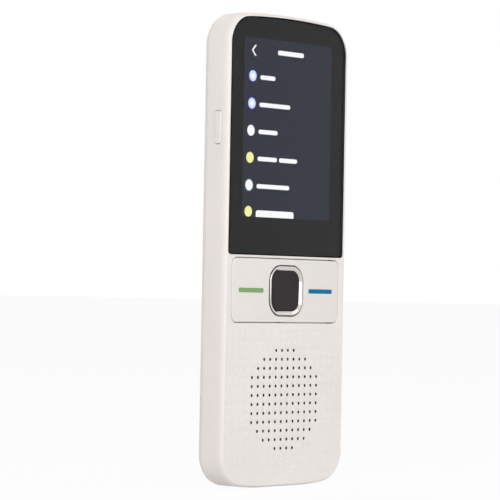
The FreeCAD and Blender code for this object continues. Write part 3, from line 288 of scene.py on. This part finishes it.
class Finish:
    """A Principled material with nodes in the object's own coordinates."""

    def __init__(self, name, colour, roughness, **inputs):
        self.material = bpy.data.materials.new(name)
        self.material.use_nodes = True
        self.tree = self.material.node_tree
        self.shader = self.tree.nodes["Principled BSDF"]
        self.colour = colour
        self.roughness = roughness
        self.shader.inputs["Base Color"].default_value = colour
        self.shader.inputs["Roughness"].default_value = roughness
        for key, value in inputs.items():
            self.shader.inputs[key.replace("_", " ")].default_value = value
        self.place = self.tree.nodes.new("ShaderNodeTexCoord").outputs["Object"]

    def noise(self, scale, detail=4.0, stretch=None):
        node = self.tree.nodes.new("ShaderNodeTexNoise")
        node.inputs["Scale"].default_value = scale
        node.inputs["Detail"].default_value = detail
        source = self.place
        if stretch:
            mapping = self.tree.nodes.new("ShaderNodeMapping")
            mapping.inputs["Scale"].default_value = stretch
            self.tree.links.new(source, mapping.inputs["Vector"])
            source = mapping.outputs["Vector"]
        self.tree.links.new(source, node.inputs["Vector"])
        return node.outputs["Fac"]

    def vary_colour(self, value, low, high):
        """The colour times low where the value is low, up to times high where it is high."""
        ramp = self.tree.nodes.new("ShaderNodeValToRGB")
        for element, at, factor in zip(ramp.color_ramp.elements, (NOISE_LOW, NOISE_HIGH), (low, high)):
            element.position = at
            element.color = tuple(min(1.0, c * factor) for c in self.colour[:3]) + (1.0,)
        self.tree.links.new(value, ramp.inputs["Fac"])
        self.tree.links.new(ramp.outputs["Color"], self.shader.inputs["Base Color"])

    def vary_roughness(self, value, spread):
        node = self.tree.nodes.new("ShaderNodeMapRange")
        node.inputs["From Min"].default_value = NOISE_LOW
        node.inputs["From Max"].default_value = NOISE_HIGH
        node.inputs["To Min"].default_value = self.roughness - spread
        node.inputs["To Max"].default_value = self.roughness + spread
        self.tree.links.new(value, node.inputs["Value"])
        self.tree.links.new(node.outputs["Result"], self.shader.inputs["Roughness"])

    def bump(self, value, height):
        node = self.tree.nodes.new("ShaderNodeBump")
        node.inputs["Distance"].default_value = height * MM
        node.inputs["Strength"].default_value = 1.0
        self.tree.links.new(value, node.inputs["Height"])
        self.tree.links.new(node.outputs["Normal"], self.shader.inputs["Normal"])


def moulded(name, colour, roughness, grain=0.004, grain_scale=2600.0, **inputs):
    """Moulded plastic: a fine spark-eroded grain, a faint cloud in its colour and an uneven gloss."""
    finish = Finish(name, colour, roughness, **inputs)
    finish.vary_colour(finish.noise(55.0, 2.0), 0.985, 1.015)
    finish.vary_roughness(finish.noise(420.0), 0.05)
    finish.bump(finish.noise(grain_scale, 5.0), grain)
    return finish.material


def metal(name, colour, roughness, brushed=None):
    """Metal with an uneven gloss, and fine lines across the axis with the largest stretch."""
    finish = Finish(name, colour, roughness, Metallic=1.0)
    finish.vary_colour(finish.noise(120.0, 2.0), 0.97, 1.03)
    finish.vary_roughness(finish.noise(900.0), 0.03)
    if brushed:
        finish.bump(finish.noise(900.0, 6.0, brushed), 0.002)
    return finish.material


def glowing(name, colour):
    """A lit part of the screen: the light comes through a fine grid of cells."""
    finish = Finish(name, (0.0, 0.0, 0.0, 1.0), 0.4, Specular_IOR_Level=0.0)
    finish.shader.inputs["Emission Color"].default_value = colour
    finish.shader.inputs["Emission Strength"].default_value = 1.0
    finish.bump(finish.noise(3000.0, 2.0), 0.001)
    return finish.material


case_plastic = moulded("case_plastic", linear(234, 229, 226), 0.36, Specular_IOR_Level=0.25)
panel_plastic = moulded("panel_plastic", linear(229, 225, 221), 0.34, Specular_IOR_Level=0.28)
black_print = moulded("black_print", linear(5, 4, 5), 0.30, grain=0.001, Specular_IOR_Level=0.0)
# Painted shade: a dark brown that stands for the shade on the lower walls of the grille's holes and of the
# gap round the key
painted_hole_shade = moulded("painted_hole_shade", linear(70, 61, 57), 0.7, grain=0.02, Specular_IOR_Level=0.1)
key_plastic = moulded("key_plastic", linear(43, 39, 41), 0.46, grain=0.006, Specular_IOR_Level=0.14)
green_print = moulded("green_print", linear(120, 165, 100), 0.42, Specular_IOR_Level=0.3)
blue_print = moulded("blue_print", linear(4, 115, 161), 0.40, Specular_IOR_Level=0.08)
chrome = metal("key_chrome", linear(208, 204, 201), 0.12)
sheet_steel = metal("sheet_steel", linear(200, 200, 198), 0.30, (1.0, 1.0, 30.0))
cell_foil = metal("cell_foil", linear(205, 205, 208), 0.35, (30.0, 1.0, 1.0))
foam = moulded("foam", linear(44, 44, 45), 0.9, grain=0.05, grain_scale=1800.0)
flex = moulded("flex", linear(196, 130, 52), 0.32)
board_green = moulded("board_green", linear(24, 92, 56), 0.38)
chip_black = moulded("chip_black", linear(38, 38, 40), 0.55)
paper_cone = moulded("paper_cone", linear(40, 40, 41), 0.85, grain=0.03, grain_scale=1500.0)
lead_wire = moulded("lead_wire", linear(170, 30, 28), 0.45)
light_guide = moulded("light_guide", linear(240, 240, 240), 0.35)
mesh_cloth = moulded("mesh_cloth", linear(36, 34, 34), 0.8, grain=0.03, grain_scale=3500.0)

# Its two faces mirror the white room, so a low IOR keeps the window as dark as the photographed one
glass = Finish("window_glass", (1.0, 1.0, 1.0, 1.0), 0.02, IOR=1.22, Transmission_Weight=1.0).material

screen_dark = glowing("screen_dark", linear(29, 35, 49))
screen_white = glowing("screen_white", linear(250, 250, 252))
screen_blue = glowing("screen_blue", linear(205, 220, 252))
screen_yellow = glowing("screen_yellow", linear(247, 242, 160))
screen_teal = glowing("screen_teal", linear(24, 70, 70))
screen_navy = glowing("screen_navy", linear(26, 30, 104))

# The part's own solids that stay as they are, inside the case
INNER_FINISHES = (
    (light_guide, "lcd_backlight"),
    (sheet_steel, "lcd_tray key_frame processor_shield charge_socket_shell board_screws key_domes"),
    (sheet_steel, "speaker_magnet"),
    (mesh_cloth, "speaker_mesh"),
    (foam, "lcd_foam speaker_foam speaker_gasket microphone_boot window_adhesive battery_tape"),
    (flex, "display_ribbon side_ribbon board_ribbon aerial"),
    (board_green, "main_board charge_board side_switch_board battery_board"),
    (chip_black, "memory_chip wireless_module power_chip microphone side_switch"),
    (chip_black, "display_connector side_connector ribbon_connector battery_connector"),
    (chip_black, "charge_socket_tongue speaker_basket"),
    (paper_cone, "speaker_cone"),
    (cell_foil, "battery_cell"),
    (lead_wire, "battery_leads"),
)
for finish, nodes in INNER_FINISHES:
    for node in nodes.split():
        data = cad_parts[node].data
        data.materials.clear()
        data.materials.append(finish)


# Case

GRILLE_HALF_WIDTH, GRILLE_HALF_HEIGHT = 6.2, 6.0  # half axes of the drilled ellipse, in pitches
DIMPLE_RADIUS, DIMPLE_SIDES = 0.72, 14
DIMPLE_MARGIN = 1.9  # least distance from a dimple's middle to a foot corner's edge
GROOVE = 0.78  # inset of the floor of the parting line's fine groove
LIP, LIP_IN, LIP_END = WALL + 0.15, WALL + 0.95, PARTING - 1  # rear cover's lip in the side walls
SOFTENED = 0.04  # how far the window opening's rim is broken
LEDGE_INSET = 0.35  # from the pane's edge to the root of its ledge behind the front wall
CUT_PAST = 1.0  # how far a cutting tool stands out of the case


def grille_points():
    """The drilled points, in pitches from the speaker's centre."""
    steps = [k + 0.5 for k in range(-8, 8)]
    return [(i, j) for j in steps for i in steps
            if (i / GRILLE_HALF_WIDTH) ** 2 + (j / GRILLE_HALF_HEIGHT) ** 2 <= 1]


def dimple_points():
    """The points of the same grid that are only dimpled: all of the lower face but the drilled ones."""
    drilled = set(grille_points())
    corner_x, corner_z = foot_corner_centre()
    found = []
    for row in range(-9, 8):
        for column in range(-10, 10):
            i, j = column + 0.5, row + 0.5
            past_x, past_z = abs(i) * PITCH - corner_x, SPEAKER_Z + j * PITCH - corner_z
            in_corner = past_x > 0 and past_z < 0
            if in_corner and math.hypot(past_x, past_z) > FOOT_CORNER - DIMPLE_MARGIN:
                continue
            if (i, j) not in drilled:
                found.append((i, j))
    return found


def make_housing():
    """The front shell, closed all round: outer skin, front face with its holes, ledge and inner skin."""
    skin = Skin()
    outer = [(GROOVE, PARTING - 0.02), (0.3, PARTING - 0.1)] + rear_round((25, 20, 15, 10, 5, 0))
    outer += quarter(0.0, FRONT + FRONT_RISE, FRONT_REACH, FRONT_RISE, 10)
    outer += [(FRONT_REACH + 0.02, FRONT)]
    rear_edge, rim = skin.stack(case_outline, outer)
    inner_edge, inner_rim = skin.stack(case_outline, [(WALL, PARTING), (WALL, INNER_FRONT)])
    skin.band(rear_edge, inner_edge)

    window_side = [(-WINDOW_GAP - SOFTENED, FRONT), (-WINDOW_GAP, FRONT + SOFTENED), (-WINDOW_GAP, SEAT)]
    window_top, seat = skin.stack(window_outline, window_side)
    opening = rounded(MODULE_WIDTH + 2 * MODULE_GAP, MODULE_HEIGHT + 2 * MODULE_GAP, 0.6, 0.0, MODULE_Z, 4)
    ledge_hole, ledge_rear = skin.stack(opening, [(0.0, SEAT), (0.0, LEDGE_BACK)])
    skin.flat(seat, [ledge_hole])
    ledge_side = [(LEDGE_INSET, LEDGE_BACK), (LEDGE_INSET, INNER_FRONT)]
    ledge_edge, ledge_root = skin.stack(window_outline, ledge_side)
    skin.flat(ledge_edge, [ledge_rear])

    panel = rounded(
        PANEL_WIDTH + 2 * PANEL_GAP, PANEL_HEIGHT + 2 * PANEL_GAP, PANEL_CORNER + PANEL_GAP, 0.0, PANEL_Z, 10,
    )
    panel_side = [(-0.16, FRONT), (-0.12, FRONT + 0.01), (-0.05, FRONT + 0.05), (0.0, FRONT + 0.13)]
    panel_top, panel_root = skin.stack(panel, panel_side + [(0.0, INNER_FRONT)])

    front_holes, rear_holes = [window_top, panel_top], [ledge_root, panel_root]
    hole_rim = [(-0.09, FRONT), (-0.03, FRONT + 0.02), (0.0, FRONT + 0.08), (0.0, FRONT + 0.14)]
    for i, j in grille_points():
        hole = circle(i * PITCH, SPEAKER_Z + j * PITCH, HOLE, 16)
        top, waist = skin.stack(hole, hole_rim)
        root = skin.ring(hole(0.0), INNER_FRONT)
        # Painted shade: below its rim, the hole's wall is painted dark where the white plastic would lie in
        # shade
        skin.band(waist, root, 1)
        front_holes.append(top)
        rear_holes.append(root)
    dish = [(0.0, FRONT), (0.06, FRONT + 0.006), (0.2, FRONT + 0.05), (0.42, FRONT + 0.085)]
    for i, j in dimple_points():
        spot = circle(i * PITCH, SPEAKER_Z + j * PITCH, DIMPLE_RADIUS, DIMPLE_SIDES)
        top, floor = skin.stack(spot, dish)
        skin.flat(floor)
        front_holes.append(top)
    skin.flat(rim, front_holes)
    skin.flat(inner_rim, rear_holes)
    materials = [case_plastic, painted_hole_shade]
    return skin.build("front_housing_skin", "case", materials, ["front_housing"])


def make_rear_cover():
    """The back shell, with the rest of the rear edge's rounding and its half of the parting groove."""
    skin = Skin()
    profile = [(LIP, LIP_END), (LIP, PARTING + 0.02), (GROOVE, PARTING + 0.02), (0.49, PARTING + 0.12)]
    profile += rear_round((35, 40, 48, 56, 64, 72, 81, 90)) + [(REAR_ROUND + 0.1, BACK)]
    lip, back = skin.stack(case_outline, profile)
    lip_in, floor = skin.stack(case_outline, [(LIP_IN, LIP_END), (LIP_IN, INNER_BACK)])
    skin.band(lip, lip_in)
    skin.flat(back)
    skin.flat(floor)
    return skin.build("rear_cover_skin", "case", [case_plastic], ["rear_cover"])


def cut_hole(piece, outline, axis, low, high):
    """Takes a straight prism out of a piece's mesh."""
    tool = Skin(axis)
    tool.solid(outline, [(0.0, low), (0.0, high)])
    bmesh.ops.recalc_face_normals(tool.mesh, faces=tool.mesh.faces)
    data = bpy.data.meshes.new("cutter")
    tool.mesh.to_mesh(data)
    tool.mesh.free()
    cutter = bpy.data.objects.new("cutter", data)
    bpy.context.scene.collection.objects.link(cutter)
    knife = piece.modifiers.new("cut", "BOOLEAN")
    knife.operation = "DIFFERENCE"
    knife.solver = "EXACT"
    knife.object = cutter
    bpy.context.view_layer.update()
    evaluated = piece.evaluated_get(bpy.context.evaluated_depsgraph_get())
    result = bpy.data.meshes.new_from_object(evaluated)
    result.name = piece.name
    piece.modifiers.remove(knife)
    piece.data = result
    bpy.data.objects.remove(cutter)


def cut_wall_holes(shell):
    """The side key's slot in the left wall, and the socket's mouth and the microphone's port in the foot."""
    key_slot = rounded(
        SIDE_KEY_WIDTH + 2 * SIDE_KEY_GAP, SIDE_KEY_LENGTH + 2 * SIDE_KEY_END_GAP,
        SIDE_KEY_CORNER + SIDE_KEY_GAP, SIDE_KEY_Y, SIDE_KEY_Z, 6,
    )
    outside = -HALF_WIDTH
    cut_hole(shell, key_slot, "x", outside - CUT_PAST, outside + WALL + 0.15)
    socket_mouth = rounded(PORT_WIDTH, PORT_DEPTH, PORT_CORNER, 0.0, 0.0, 8)
    cut_hole(shell, socket_mouth, "z", -CUT_PAST, WALL + 0.4)
    microphone_port = circle(MICROPHONE_X, MICROPHONE_Y, MICROPHONE_RADIUS, 20)
    cut_hole(shell, microphone_port, "z", -CUT_PAST, WALL + CUT_PAST)
    mesh = bmesh.new()
    mesh.from_mesh(shell.data)
    mark_crisp(mesh)
    mesh.to_mesh(shell.data)
    mesh.free()


housing = make_housing()
make_rear_cover()
cut_wall_holes(housing)


# Window, its black print and the lit screen

PANE_BACK, PANE_ROUND = -4.28, 0.2
PRINT_DEPTHS = (-4.265, -4.235)
SCREEN_FACE, SIGN_BACK, SIGN_FACE = -4.2, -4.204, -4.228
ICON_RADIUS, ICON_RIM_RADIUS, ICON_CENTRE_RADIUS = 1.5, 2.0, 0.8
ICON_LIFT, CENTRE_LIFT = 0.006, 0.012  # how far an icon and its centre stand in front of the rim
LABEL_HEIGHT, LABEL_START, LABEL_DROP = 1.2, 3.1, 0.2  # a menu bar's height, and its place by the icon


def make_window():
    """A bevelled glass pane with sides printed black, over a black border that leaves the screen clear."""
    pane = Skin()
    edge = quarter(0.0, FRONT + PANE_ROUND, PANE_ROUND, PANE_ROUND, 5)
    side_back, side_front = pane.stack(window_outline, [(0.0, PANE_BACK), edge[0]], 1)
    rings = [pane.ring(window_outline(inset), depth) for inset, depth in edge[1:] + [(0.24, FRONT)]]
    for one, other in zip([side_front, *rings], rings):
        pane.band(one, other, 1)
    pane.flat(rings[-1])
    pane.flat(side_back)
    pane.build("window_pane", "case", [glass, black_print], ["display_window"])

    border = Skin()
    lit = rounded(SCREEN_WIDTH, SCREEN_HEIGHT, 0.3, 0.0, SCREEN_Z, 4)
    outside = [border.ring(window_outline(0.02), depth) for depth in PRINT_DEPTHS]
    inside = [border.ring(lit(0.0), depth) for depth in PRINT_DEPTHS]
    border.band(*outside)
    border.band(*inside)
    for one, other in zip(outside, inside):
        border.flat(one, [other])
    border.build("window_print", "case", [black_print])


def sign(name, outline, material, lift=0.0):
    """A thin lit form on the screen's face."""
    mark = Skin()
    mark.solid(outline, [(0.0, SIGN_BACK - lift), (0.0, SIGN_FACE - lift / 2)])
    mark.build(name, "case", [material])


def make_screen():
    """The panel behind the glass, and its menu: a plain round icon and plain rounded bars on each line."""
    panel = Skin()
    module = rounded(MODULE_WIDTH, MODULE_HEIGHT, 0.4, 0.0, MODULE_Z, 4)
    panel.solid(module, [(0.0, -3.0), (0.0, SCREEN_FACE + 0.05), (0.05, SCREEN_FACE)])
    panel.build("screen_panel", "case", [screen_dark], ["lcd_panel"])

    # An icon's middle, its colour, its rim's colour, and each word's start and length
    lines = (
        (-14.8, 112.3, screen_blue, screen_navy, [(0.0, 6.2)]),
        (-15.0, 104.8, screen_blue, screen_navy, [(0.0, 12.8)]),
        (-15.2, 97.4, screen_white, None, [(0.0, 7.9)]),
        (-15.4, 90.0, screen_yellow, None, [(0.0, 8.0), (8.9, 7.6)]),
        (-15.6, 82.5, screen_white, screen_teal, [(0.0, 13.6)]),
    )
    for number, (x, z, colour, rim, words) in enumerate(lines, start=1):
        if rim:
            sign(f"icon_rim_{number}", circle(x, z, ICON_RIM_RADIUS, 32), rim)
        sign(f"icon_{number}", circle(x, z, ICON_RADIUS, 32), colour, ICON_LIFT)
        if colour is screen_blue:
            centre = circle(x, z, ICON_CENTRE_RADIUS, 24)
            sign(f"icon_centre_{number}", centre, screen_white, CENTRE_LIFT)
        for order, (start, length) in enumerate(words, start=1):
            middle = x + LABEL_START + start + length / 2
            label = rounded(length, LABEL_HEIGHT, LABEL_HEIGHT / 2, middle, z - LABEL_DROP, 8)
            sign(f"label_{number}_{order}", label, screen_white)
    make_cut_line(len(lines) + 1, -15.7, 75.3, 15.7)
    sign("title_bar", rounded(10.9, 1.3, 0.6, 0.85, 119.4, 8), screen_white)
    make_arrow(-15.4, 119.3)


def make_cut_line(number, x, z, length):
    """The menu's last line, whose icon and bar the screen's lower edge cuts."""
    low = SCREEN_Z - SCREEN_HEIGHT / 2 + 0.05
    start = math.asin((low - z) / ICON_RADIUS)
    steps = 20
    angles = [start + (HALF - 2 * start) * k / steps for k in range(steps + 1)]
    dome = [(x + ICON_RADIUS * math.cos(a), z + ICON_RADIUS * math.sin(a)) for a in angles]
    left, high, corner = x + LABEL_START, z + 0.45, 0.7
    right = left + length
    bar = [(left, low), (right, low)]
    bar += turn(right - corner, high - corner, corner, 0, QUARTER, 6)
    bar += turn(left + corner, high - corner, corner, QUARTER, HALF, 7)
    sign(f"icon_{number}", lambda inset: dome, screen_yellow)
    sign(f"label_{number}", lambda inset: bar, screen_white)


def make_arrow(x, z):
    """The plain back arrow at the top left of the screen, from its tip."""
    across, up, stroke = 1.35, 1.5, 0.62
    line = [(x + across, z - up), (x + across + stroke, z - up), (x + stroke, z)]
    line += [(x + across + stroke, z + up), (x + across, z + up), (x, z)]
    mark = Skin()
    rings = [mark.ring(line, depth) for depth in (SIGN_BACK, SIGN_FACE)]
    mark.band(*rings)
    for ring in rings:
        mark.mesh.faces.new((ring[0], ring[1], ring[2], ring[5]))
        mark.mesh.faces.new((ring[5], ring[2], ring[3], ring[4]))
    mark.build("menu_arrow", "case", [screen_white])


make_window()
make_screen()


# Talk panel, its marks and the centre key

POST_X, POST_RADIUS, POST_END = 14.0, 1.2, -2.67  # posts that push the outer domes
WEB_Z, WEB_WIDTH, WEB_THICKNESS, WEB_END = 8.1, 4.0, 1.2, -2.25  # webs that carry the pins
PIN_Z, PIN_Y, PIN_RADIUS, PIN_HALF = 9.6, -2.7, 0.45, 1.0
RING_FOOT, RING_WIDTH = -4.2, 1.24  # the ring's rear end, and how far its section reaches inwards
CAP_FACE, CAP_INSET = FRONT + 0.18, 1.29
FLANGE_WIDTH, FLANGE_HEIGHT, FLANGE_BACK, FLANGE_FRONT = 15.8, 13.1, -2.7, -3.2
SIDE_KEY_FACE, SIDE_KEY_SHOULDER, SIDE_KEY_ROOT = -25.54, -25.3, -24.0
SIDE_FLANGE_WIDTH, SIDE_FLANGE_LENGTH, SIDE_FLANGE_THICKNESS = 2.8, 10.5, 0.5


def make_panel():
    """The rocking panel with its seats for the marks, and behind it the posts, webs and pins."""
    skin = Skin()
    plate = rounded(PANEL_WIDTH, PANEL_HEIGHT, PANEL_CORNER, 0.0, PANEL_Z, 10)
    hole = rounded(KEY_WIDTH + 2 * KEY_GAP, KEY_HEIGHT + 2 * KEY_GAP, KEY_CORNER + KEY_GAP, 0.0, PANEL_Z, 10)
    plate_side = [(0.0, PANEL_BACK)] + quarter(0.0, FRONT + 0.3, 0.3, 0.3) + [(0.36, FRONT)]
    back, face = skin.stack(plate, plate_side)
    hole_lip, hole_face = skin.stack(hole, quarter(0.0, FRONT + 0.07, -0.06, 0.07, 4) + [(-0.09, FRONT)])
    hole_back = skin.ring(hole(0.0), PANEL_BACK)
    # Painted shade: the wall of the key's hole behind its lip is painted dark where the gap lies in shade
    skin.band(hole_back, hole_lip, 1)
    seats = []
    for x in (-MARK_X, MARK_X):
        seat = rounded(MARK_WIDTH + 2 * MARK_GAP, MARK_HEIGHT + 2 * MARK_GAP, 0.3, x, PANEL_Z, 4)
        top, floor = skin.stack(seat, [(-0.03, FRONT), (0.0, FRONT + 0.03), (0.0, MARK_FLOOR)])
        skin.flat(floor)
        seats.append(top)
    skin.flat(face, [hole_face, *seats])
    skin.flat(back, [hole_back])
    root = PANEL_BACK - 0.01
    for x in (-POST_X, POST_X):
        post = circle(x, PANEL_Z, POST_RADIUS, 24)
        skin.solid(post, [(0.0, root), (0.0, POST_END - 0.1), (0.1, POST_END)])
    for z in (PANEL_Z + WEB_Z, PANEL_Z - WEB_Z):
        web = rounded(WEB_WIDTH, WEB_THICKNESS, 0.15, 0.0, z, 3)
        skin.solid(web, [(0.0, root), (0.0, WEB_END - 0.05), (0.05, WEB_END)])
    materials = [panel_plastic, painted_hole_shade]
    skin.build("talk_panel_skin", "talk_panel", materials, ["talk_rocker"])

    for side, z in (("top", PANEL_Z + PIN_Z), ("foot", PANEL_Z - PIN_Z)):
        pin = Skin("z")
        low, high = z - PIN_HALF, z + PIN_HALF
        profile = [(0.05, low), (0.0, low + 0.05), (0.0, high - 0.05), (0.05, high)]
        pin.solid(circle(0.0, PIN_Y, PIN_RADIUS, 20), profile)
        pin.build(f"panel_pin_{side}", "talk_panel", [panel_plastic])

    mark_side = [(0.0, MARK_FLOOR - 0.01)] + quarter(0.0, FRONT + 0.06, 0.08, 0.1, 4) + [(0.12, FRONT - 0.04)]
    for colour, x, material in (("green", -MARK_X, green_print), ("blue", MARK_X, blue_print)):
        bar = Skin()
        bar.solid(rounded(MARK_WIDTH, MARK_HEIGHT, 0.28, x, PANEL_Z, 5), mark_side)
        bar.build(f"{colour}_bar", "talk_panel", [material], [f"{colour}_mark"])


def key_outline(inset):
    """The key's outline, whose corners tighten towards the cap and stay round on its face."""
    tighten, ring_end = 1.25, 1.5
    corner = max(KEY_CORNER - tighten * min(inset, ring_end), 0.6)
    corner *= 1 - max(inset - ring_end, 0) / 8
    return rounded(KEY_WIDTH - 2 * inset, KEY_HEIGHT - 2 * inset, corner, 0.0, PANEL_Z, 12)(0.0)


def make_key():
    """The bright ring, which slopes in to the cap, and the cap with the flange that holds it."""
    ring = Skin()
    profile = [(0.05, RING_FOOT)] + quarter(0.05, FRONT + 0.02, 0.22, 0.22)
    profile += [(0.4, FRONT - 0.205), (0.5, FRONT - 0.19), (0.6, FRONT - 0.14), (1.05, FRONT + 0.18)]
    profile += [(1.2, FRONT + 0.3), (RING_WIDTH, FRONT + 0.45), (RING_WIDTH, RING_FOOT)]
    ring.hoop(key_outline, profile)
    ring.build("key_ring_band", "centre_key", [chrome], ["key_ring"])

    cap = Skin()
    shoulder = RING_FOOT + 0.01
    profile = [(0.0, FLANGE_BACK - 0.2), (0.0, shoulder), (CAP_INSET, shoulder)]
    profile += quarter(CAP_INSET, CAP_FACE + 0.3, 0.35, 0.3)
    profile += [(2.4, CAP_FACE + 0.02), (3.6, CAP_FACE + 0.05), (5.0, CAP_FACE + 0.07)]
    cap.solid(key_outline, profile)
    flange = rounded(FLANGE_WIDTH, FLANGE_HEIGHT, 1.0, 0.0, PANEL_Z, 4)
    cap.solid(flange, [(0.0, FLANGE_BACK), (0.0, FLANGE_FRONT)])
    cap.build("key_cap_pad", "centre_key", [key_plastic], ["key_cap"])


def make_side_key():
    """The side key, along X: its cap stands out of the left wall, and its flange lies behind it."""
    skin = Skin("x")
    cap = rounded(SIDE_KEY_WIDTH, SIDE_KEY_LENGTH, SIDE_KEY_CORNER, SIDE_KEY_Y, SIDE_KEY_Z, 8)
    edge = quarter(0.0, SIDE_KEY_SHOULDER, 0.3, SIDE_KEY_SHOULDER - SIDE_KEY_FACE)
    skin.solid(cap, [(0.0, SIDE_KEY_ROOT)] + edge + [(0.36, SIDE_KEY_FACE)])
    flange = rounded(SIDE_FLANGE_WIDTH, SIDE_FLANGE_LENGTH, 0.3, SIDE_KEY_Y, SIDE_KEY_Z, 3)
    skin.solid(flange, [(0.0, SIDE_KEY_ROOT), (0.0, SIDE_KEY_ROOT + SIDE_FLANGE_THICKNESS)])
    skin.build("side_key_bar", "side_button", [case_plastic], ["side_key"])


make_panel()
make_key()
make_side_key()


# Floor, light and camera, in metres

def only_seen(tree, shader, white, share):
    """Mixes a plain white glow into a shader for rays that show it: straight, mirrored or through glass."""
    paths = tree.nodes.new("ShaderNodeLightPath")
    seen = paths.outputs["Is Camera Ray"]
    for kind in ("Is Glossy Ray", "Is Transmission Ray"):
        both = tree.nodes.new("ShaderNodeMath")
        both.operation = "MAXIMUM"
        tree.links.new(seen, both.inputs[0])
        tree.links.new(paths.outputs[kind], both.inputs[1])
        seen = both.outputs["Value"]
    part = tree.nodes.new("ShaderNodeMath")
    part.operation = "MULTIPLY"
    part.inputs[1].default_value = share
    tree.links.new(seen, part.inputs[0])
    mix = tree.nodes.new("ShaderNodeMixShader")
    tree.links.new(part.outputs["Value"], mix.inputs["Fac"])
    tree.links.new(shader, mix.inputs[1])
    tree.links.new(white, mix.inputs[2])
    return mix.outputs["Shader"]


def make_world():
    """A soft, slightly warm light from all round, which is seen as plain white."""
    world = bpy.data.worlds.new("studio")
    bpy.context.scene.world = world
    world.use_nodes = True
    tree = world.node_tree
    soft = tree.nodes["Background"]
    soft.inputs["Color"].default_value = (1.0, 0.99, 0.98, 1.0)
    soft.inputs["Strength"].default_value = 0.43
    white = tree.nodes.new("ShaderNodeBackground")
    white.inputs["Color"].default_value = (1.0, 1.0, 1.0, 1.0)
    result = only_seen(tree, soft.outputs["Background"], white.outputs["Background"], 1.0)
    tree.links.new(result, tree.nodes["World Output"].inputs["Surface"])


def make_floor():
    """A pale floor that is seen almost white, and keeps a faint shadow."""
    reach = 30.0
    corners = [(-reach, -reach, 0), (reach, -reach, 0), (reach, reach, 0), (-reach, reach, 0)]
    data = bpy.data.meshes.new("floor")
    data.from_pydata(corners, [], [(0, 1, 2, 3)])
    floor = bpy.data.objects.new("floor", data)
    bpy.context.scene.collection.objects.link(floor)
    material = bpy.data.materials.new("floor_paper")
    material.use_nodes = True
    tree = material.node_tree
    shader = tree.nodes["Principled BSDF"]
    shader.inputs["Base Color"].default_value = (0.9, 0.9, 0.9, 1.0)
    shader.inputs["Roughness"].default_value = 0.9
    glow = tree.nodes.new("ShaderNodeEmission")
    glow.inputs["Color"].default_value = (1.0, 1.0, 1.0, 1.0)
    result = only_seen(tree, shader.outputs["BSDF"], glow.outputs["Emission"], 0.93)
    tree.links.new(result, tree.nodes["Material Output"].inputs["Surface"])
    data.materials.append(material)


def softbox(name, azimuth, elevation, distance, size, power, colour=(1.0, 1.0, 1.0)):
    """A square area lamp that looks at the middle of the case. Azimuth 0 is in front, at -Y.

    Angles in degrees, the distance and the lamp's side in metres, the power in watts.
    """
    light = bpy.data.lights.new(name, "AREA")
    light.shape = "SQUARE"
    light.size = size
    light.energy = power
    light.color = colour
    lamp = bpy.data.objects.new(name, light)
    bpy.context.scene.collection.objects.link(lamp)
    a, e = math.radians(azimuth), math.radians(elevation)
    back = Vector((math.sin(a) * math.cos(e), -math.cos(a) * math.cos(e), math.sin(e)))
    lamp.location = Vector((0, 0, HEIGHT / 2 * MM)) + back * distance
    lamp.rotation_mode = "QUATERNION"
    lamp.rotation_quaternion = (-back).to_track_quat("-Z", "Y")


def make_camera():
    """Found by least squares from the grille's holes and the edges of the window, panel and key."""
    data = bpy.data.cameras.new("camera")
    data.sensor_width = 36.0
    data.lens = 183.6
    data.clip_start, data.clip_end = 0.01, 100.0
    camera = bpy.data.objects.new("camera", data)
    bpy.context.scene.collection.objects.link(camera)
    right = Vector((0.66673, -0.74507, 0.01824))
    up = Vector((-0.02571428, 0.0014604, 0.99966827))
    back = -Vector((0.74485121, 0.66698273, 0.01818529))
    turned = Matrix((right, up, back)).transposed()
    camera.location = (-0.53134, -0.46707, 0.05220)
    camera.rotation_mode = "QUATERNION"
    camera.rotation_quaternion = turned.to_quaternion()
    bpy.context.scene.camera = camera


make_world()
make_floor()
softbox("key_light", -46, 28, 0.9, 0.5, 3.2)
softbox("front_light", -22, 9, 0.8, 0.3, 0.8)
softbox("side_light", -72, 14, 1.0, 0.4, 0.7, (1.0, 0.93, 0.9))
softbox("fill_light", 40, 35, 1.1, 0.9, 1.2)
softbox("rim_light", 170, 55, 1.0, 0.6, 1.0)
make_camera()
bpy.context.scene.view_settings.view_transform = "Standard"
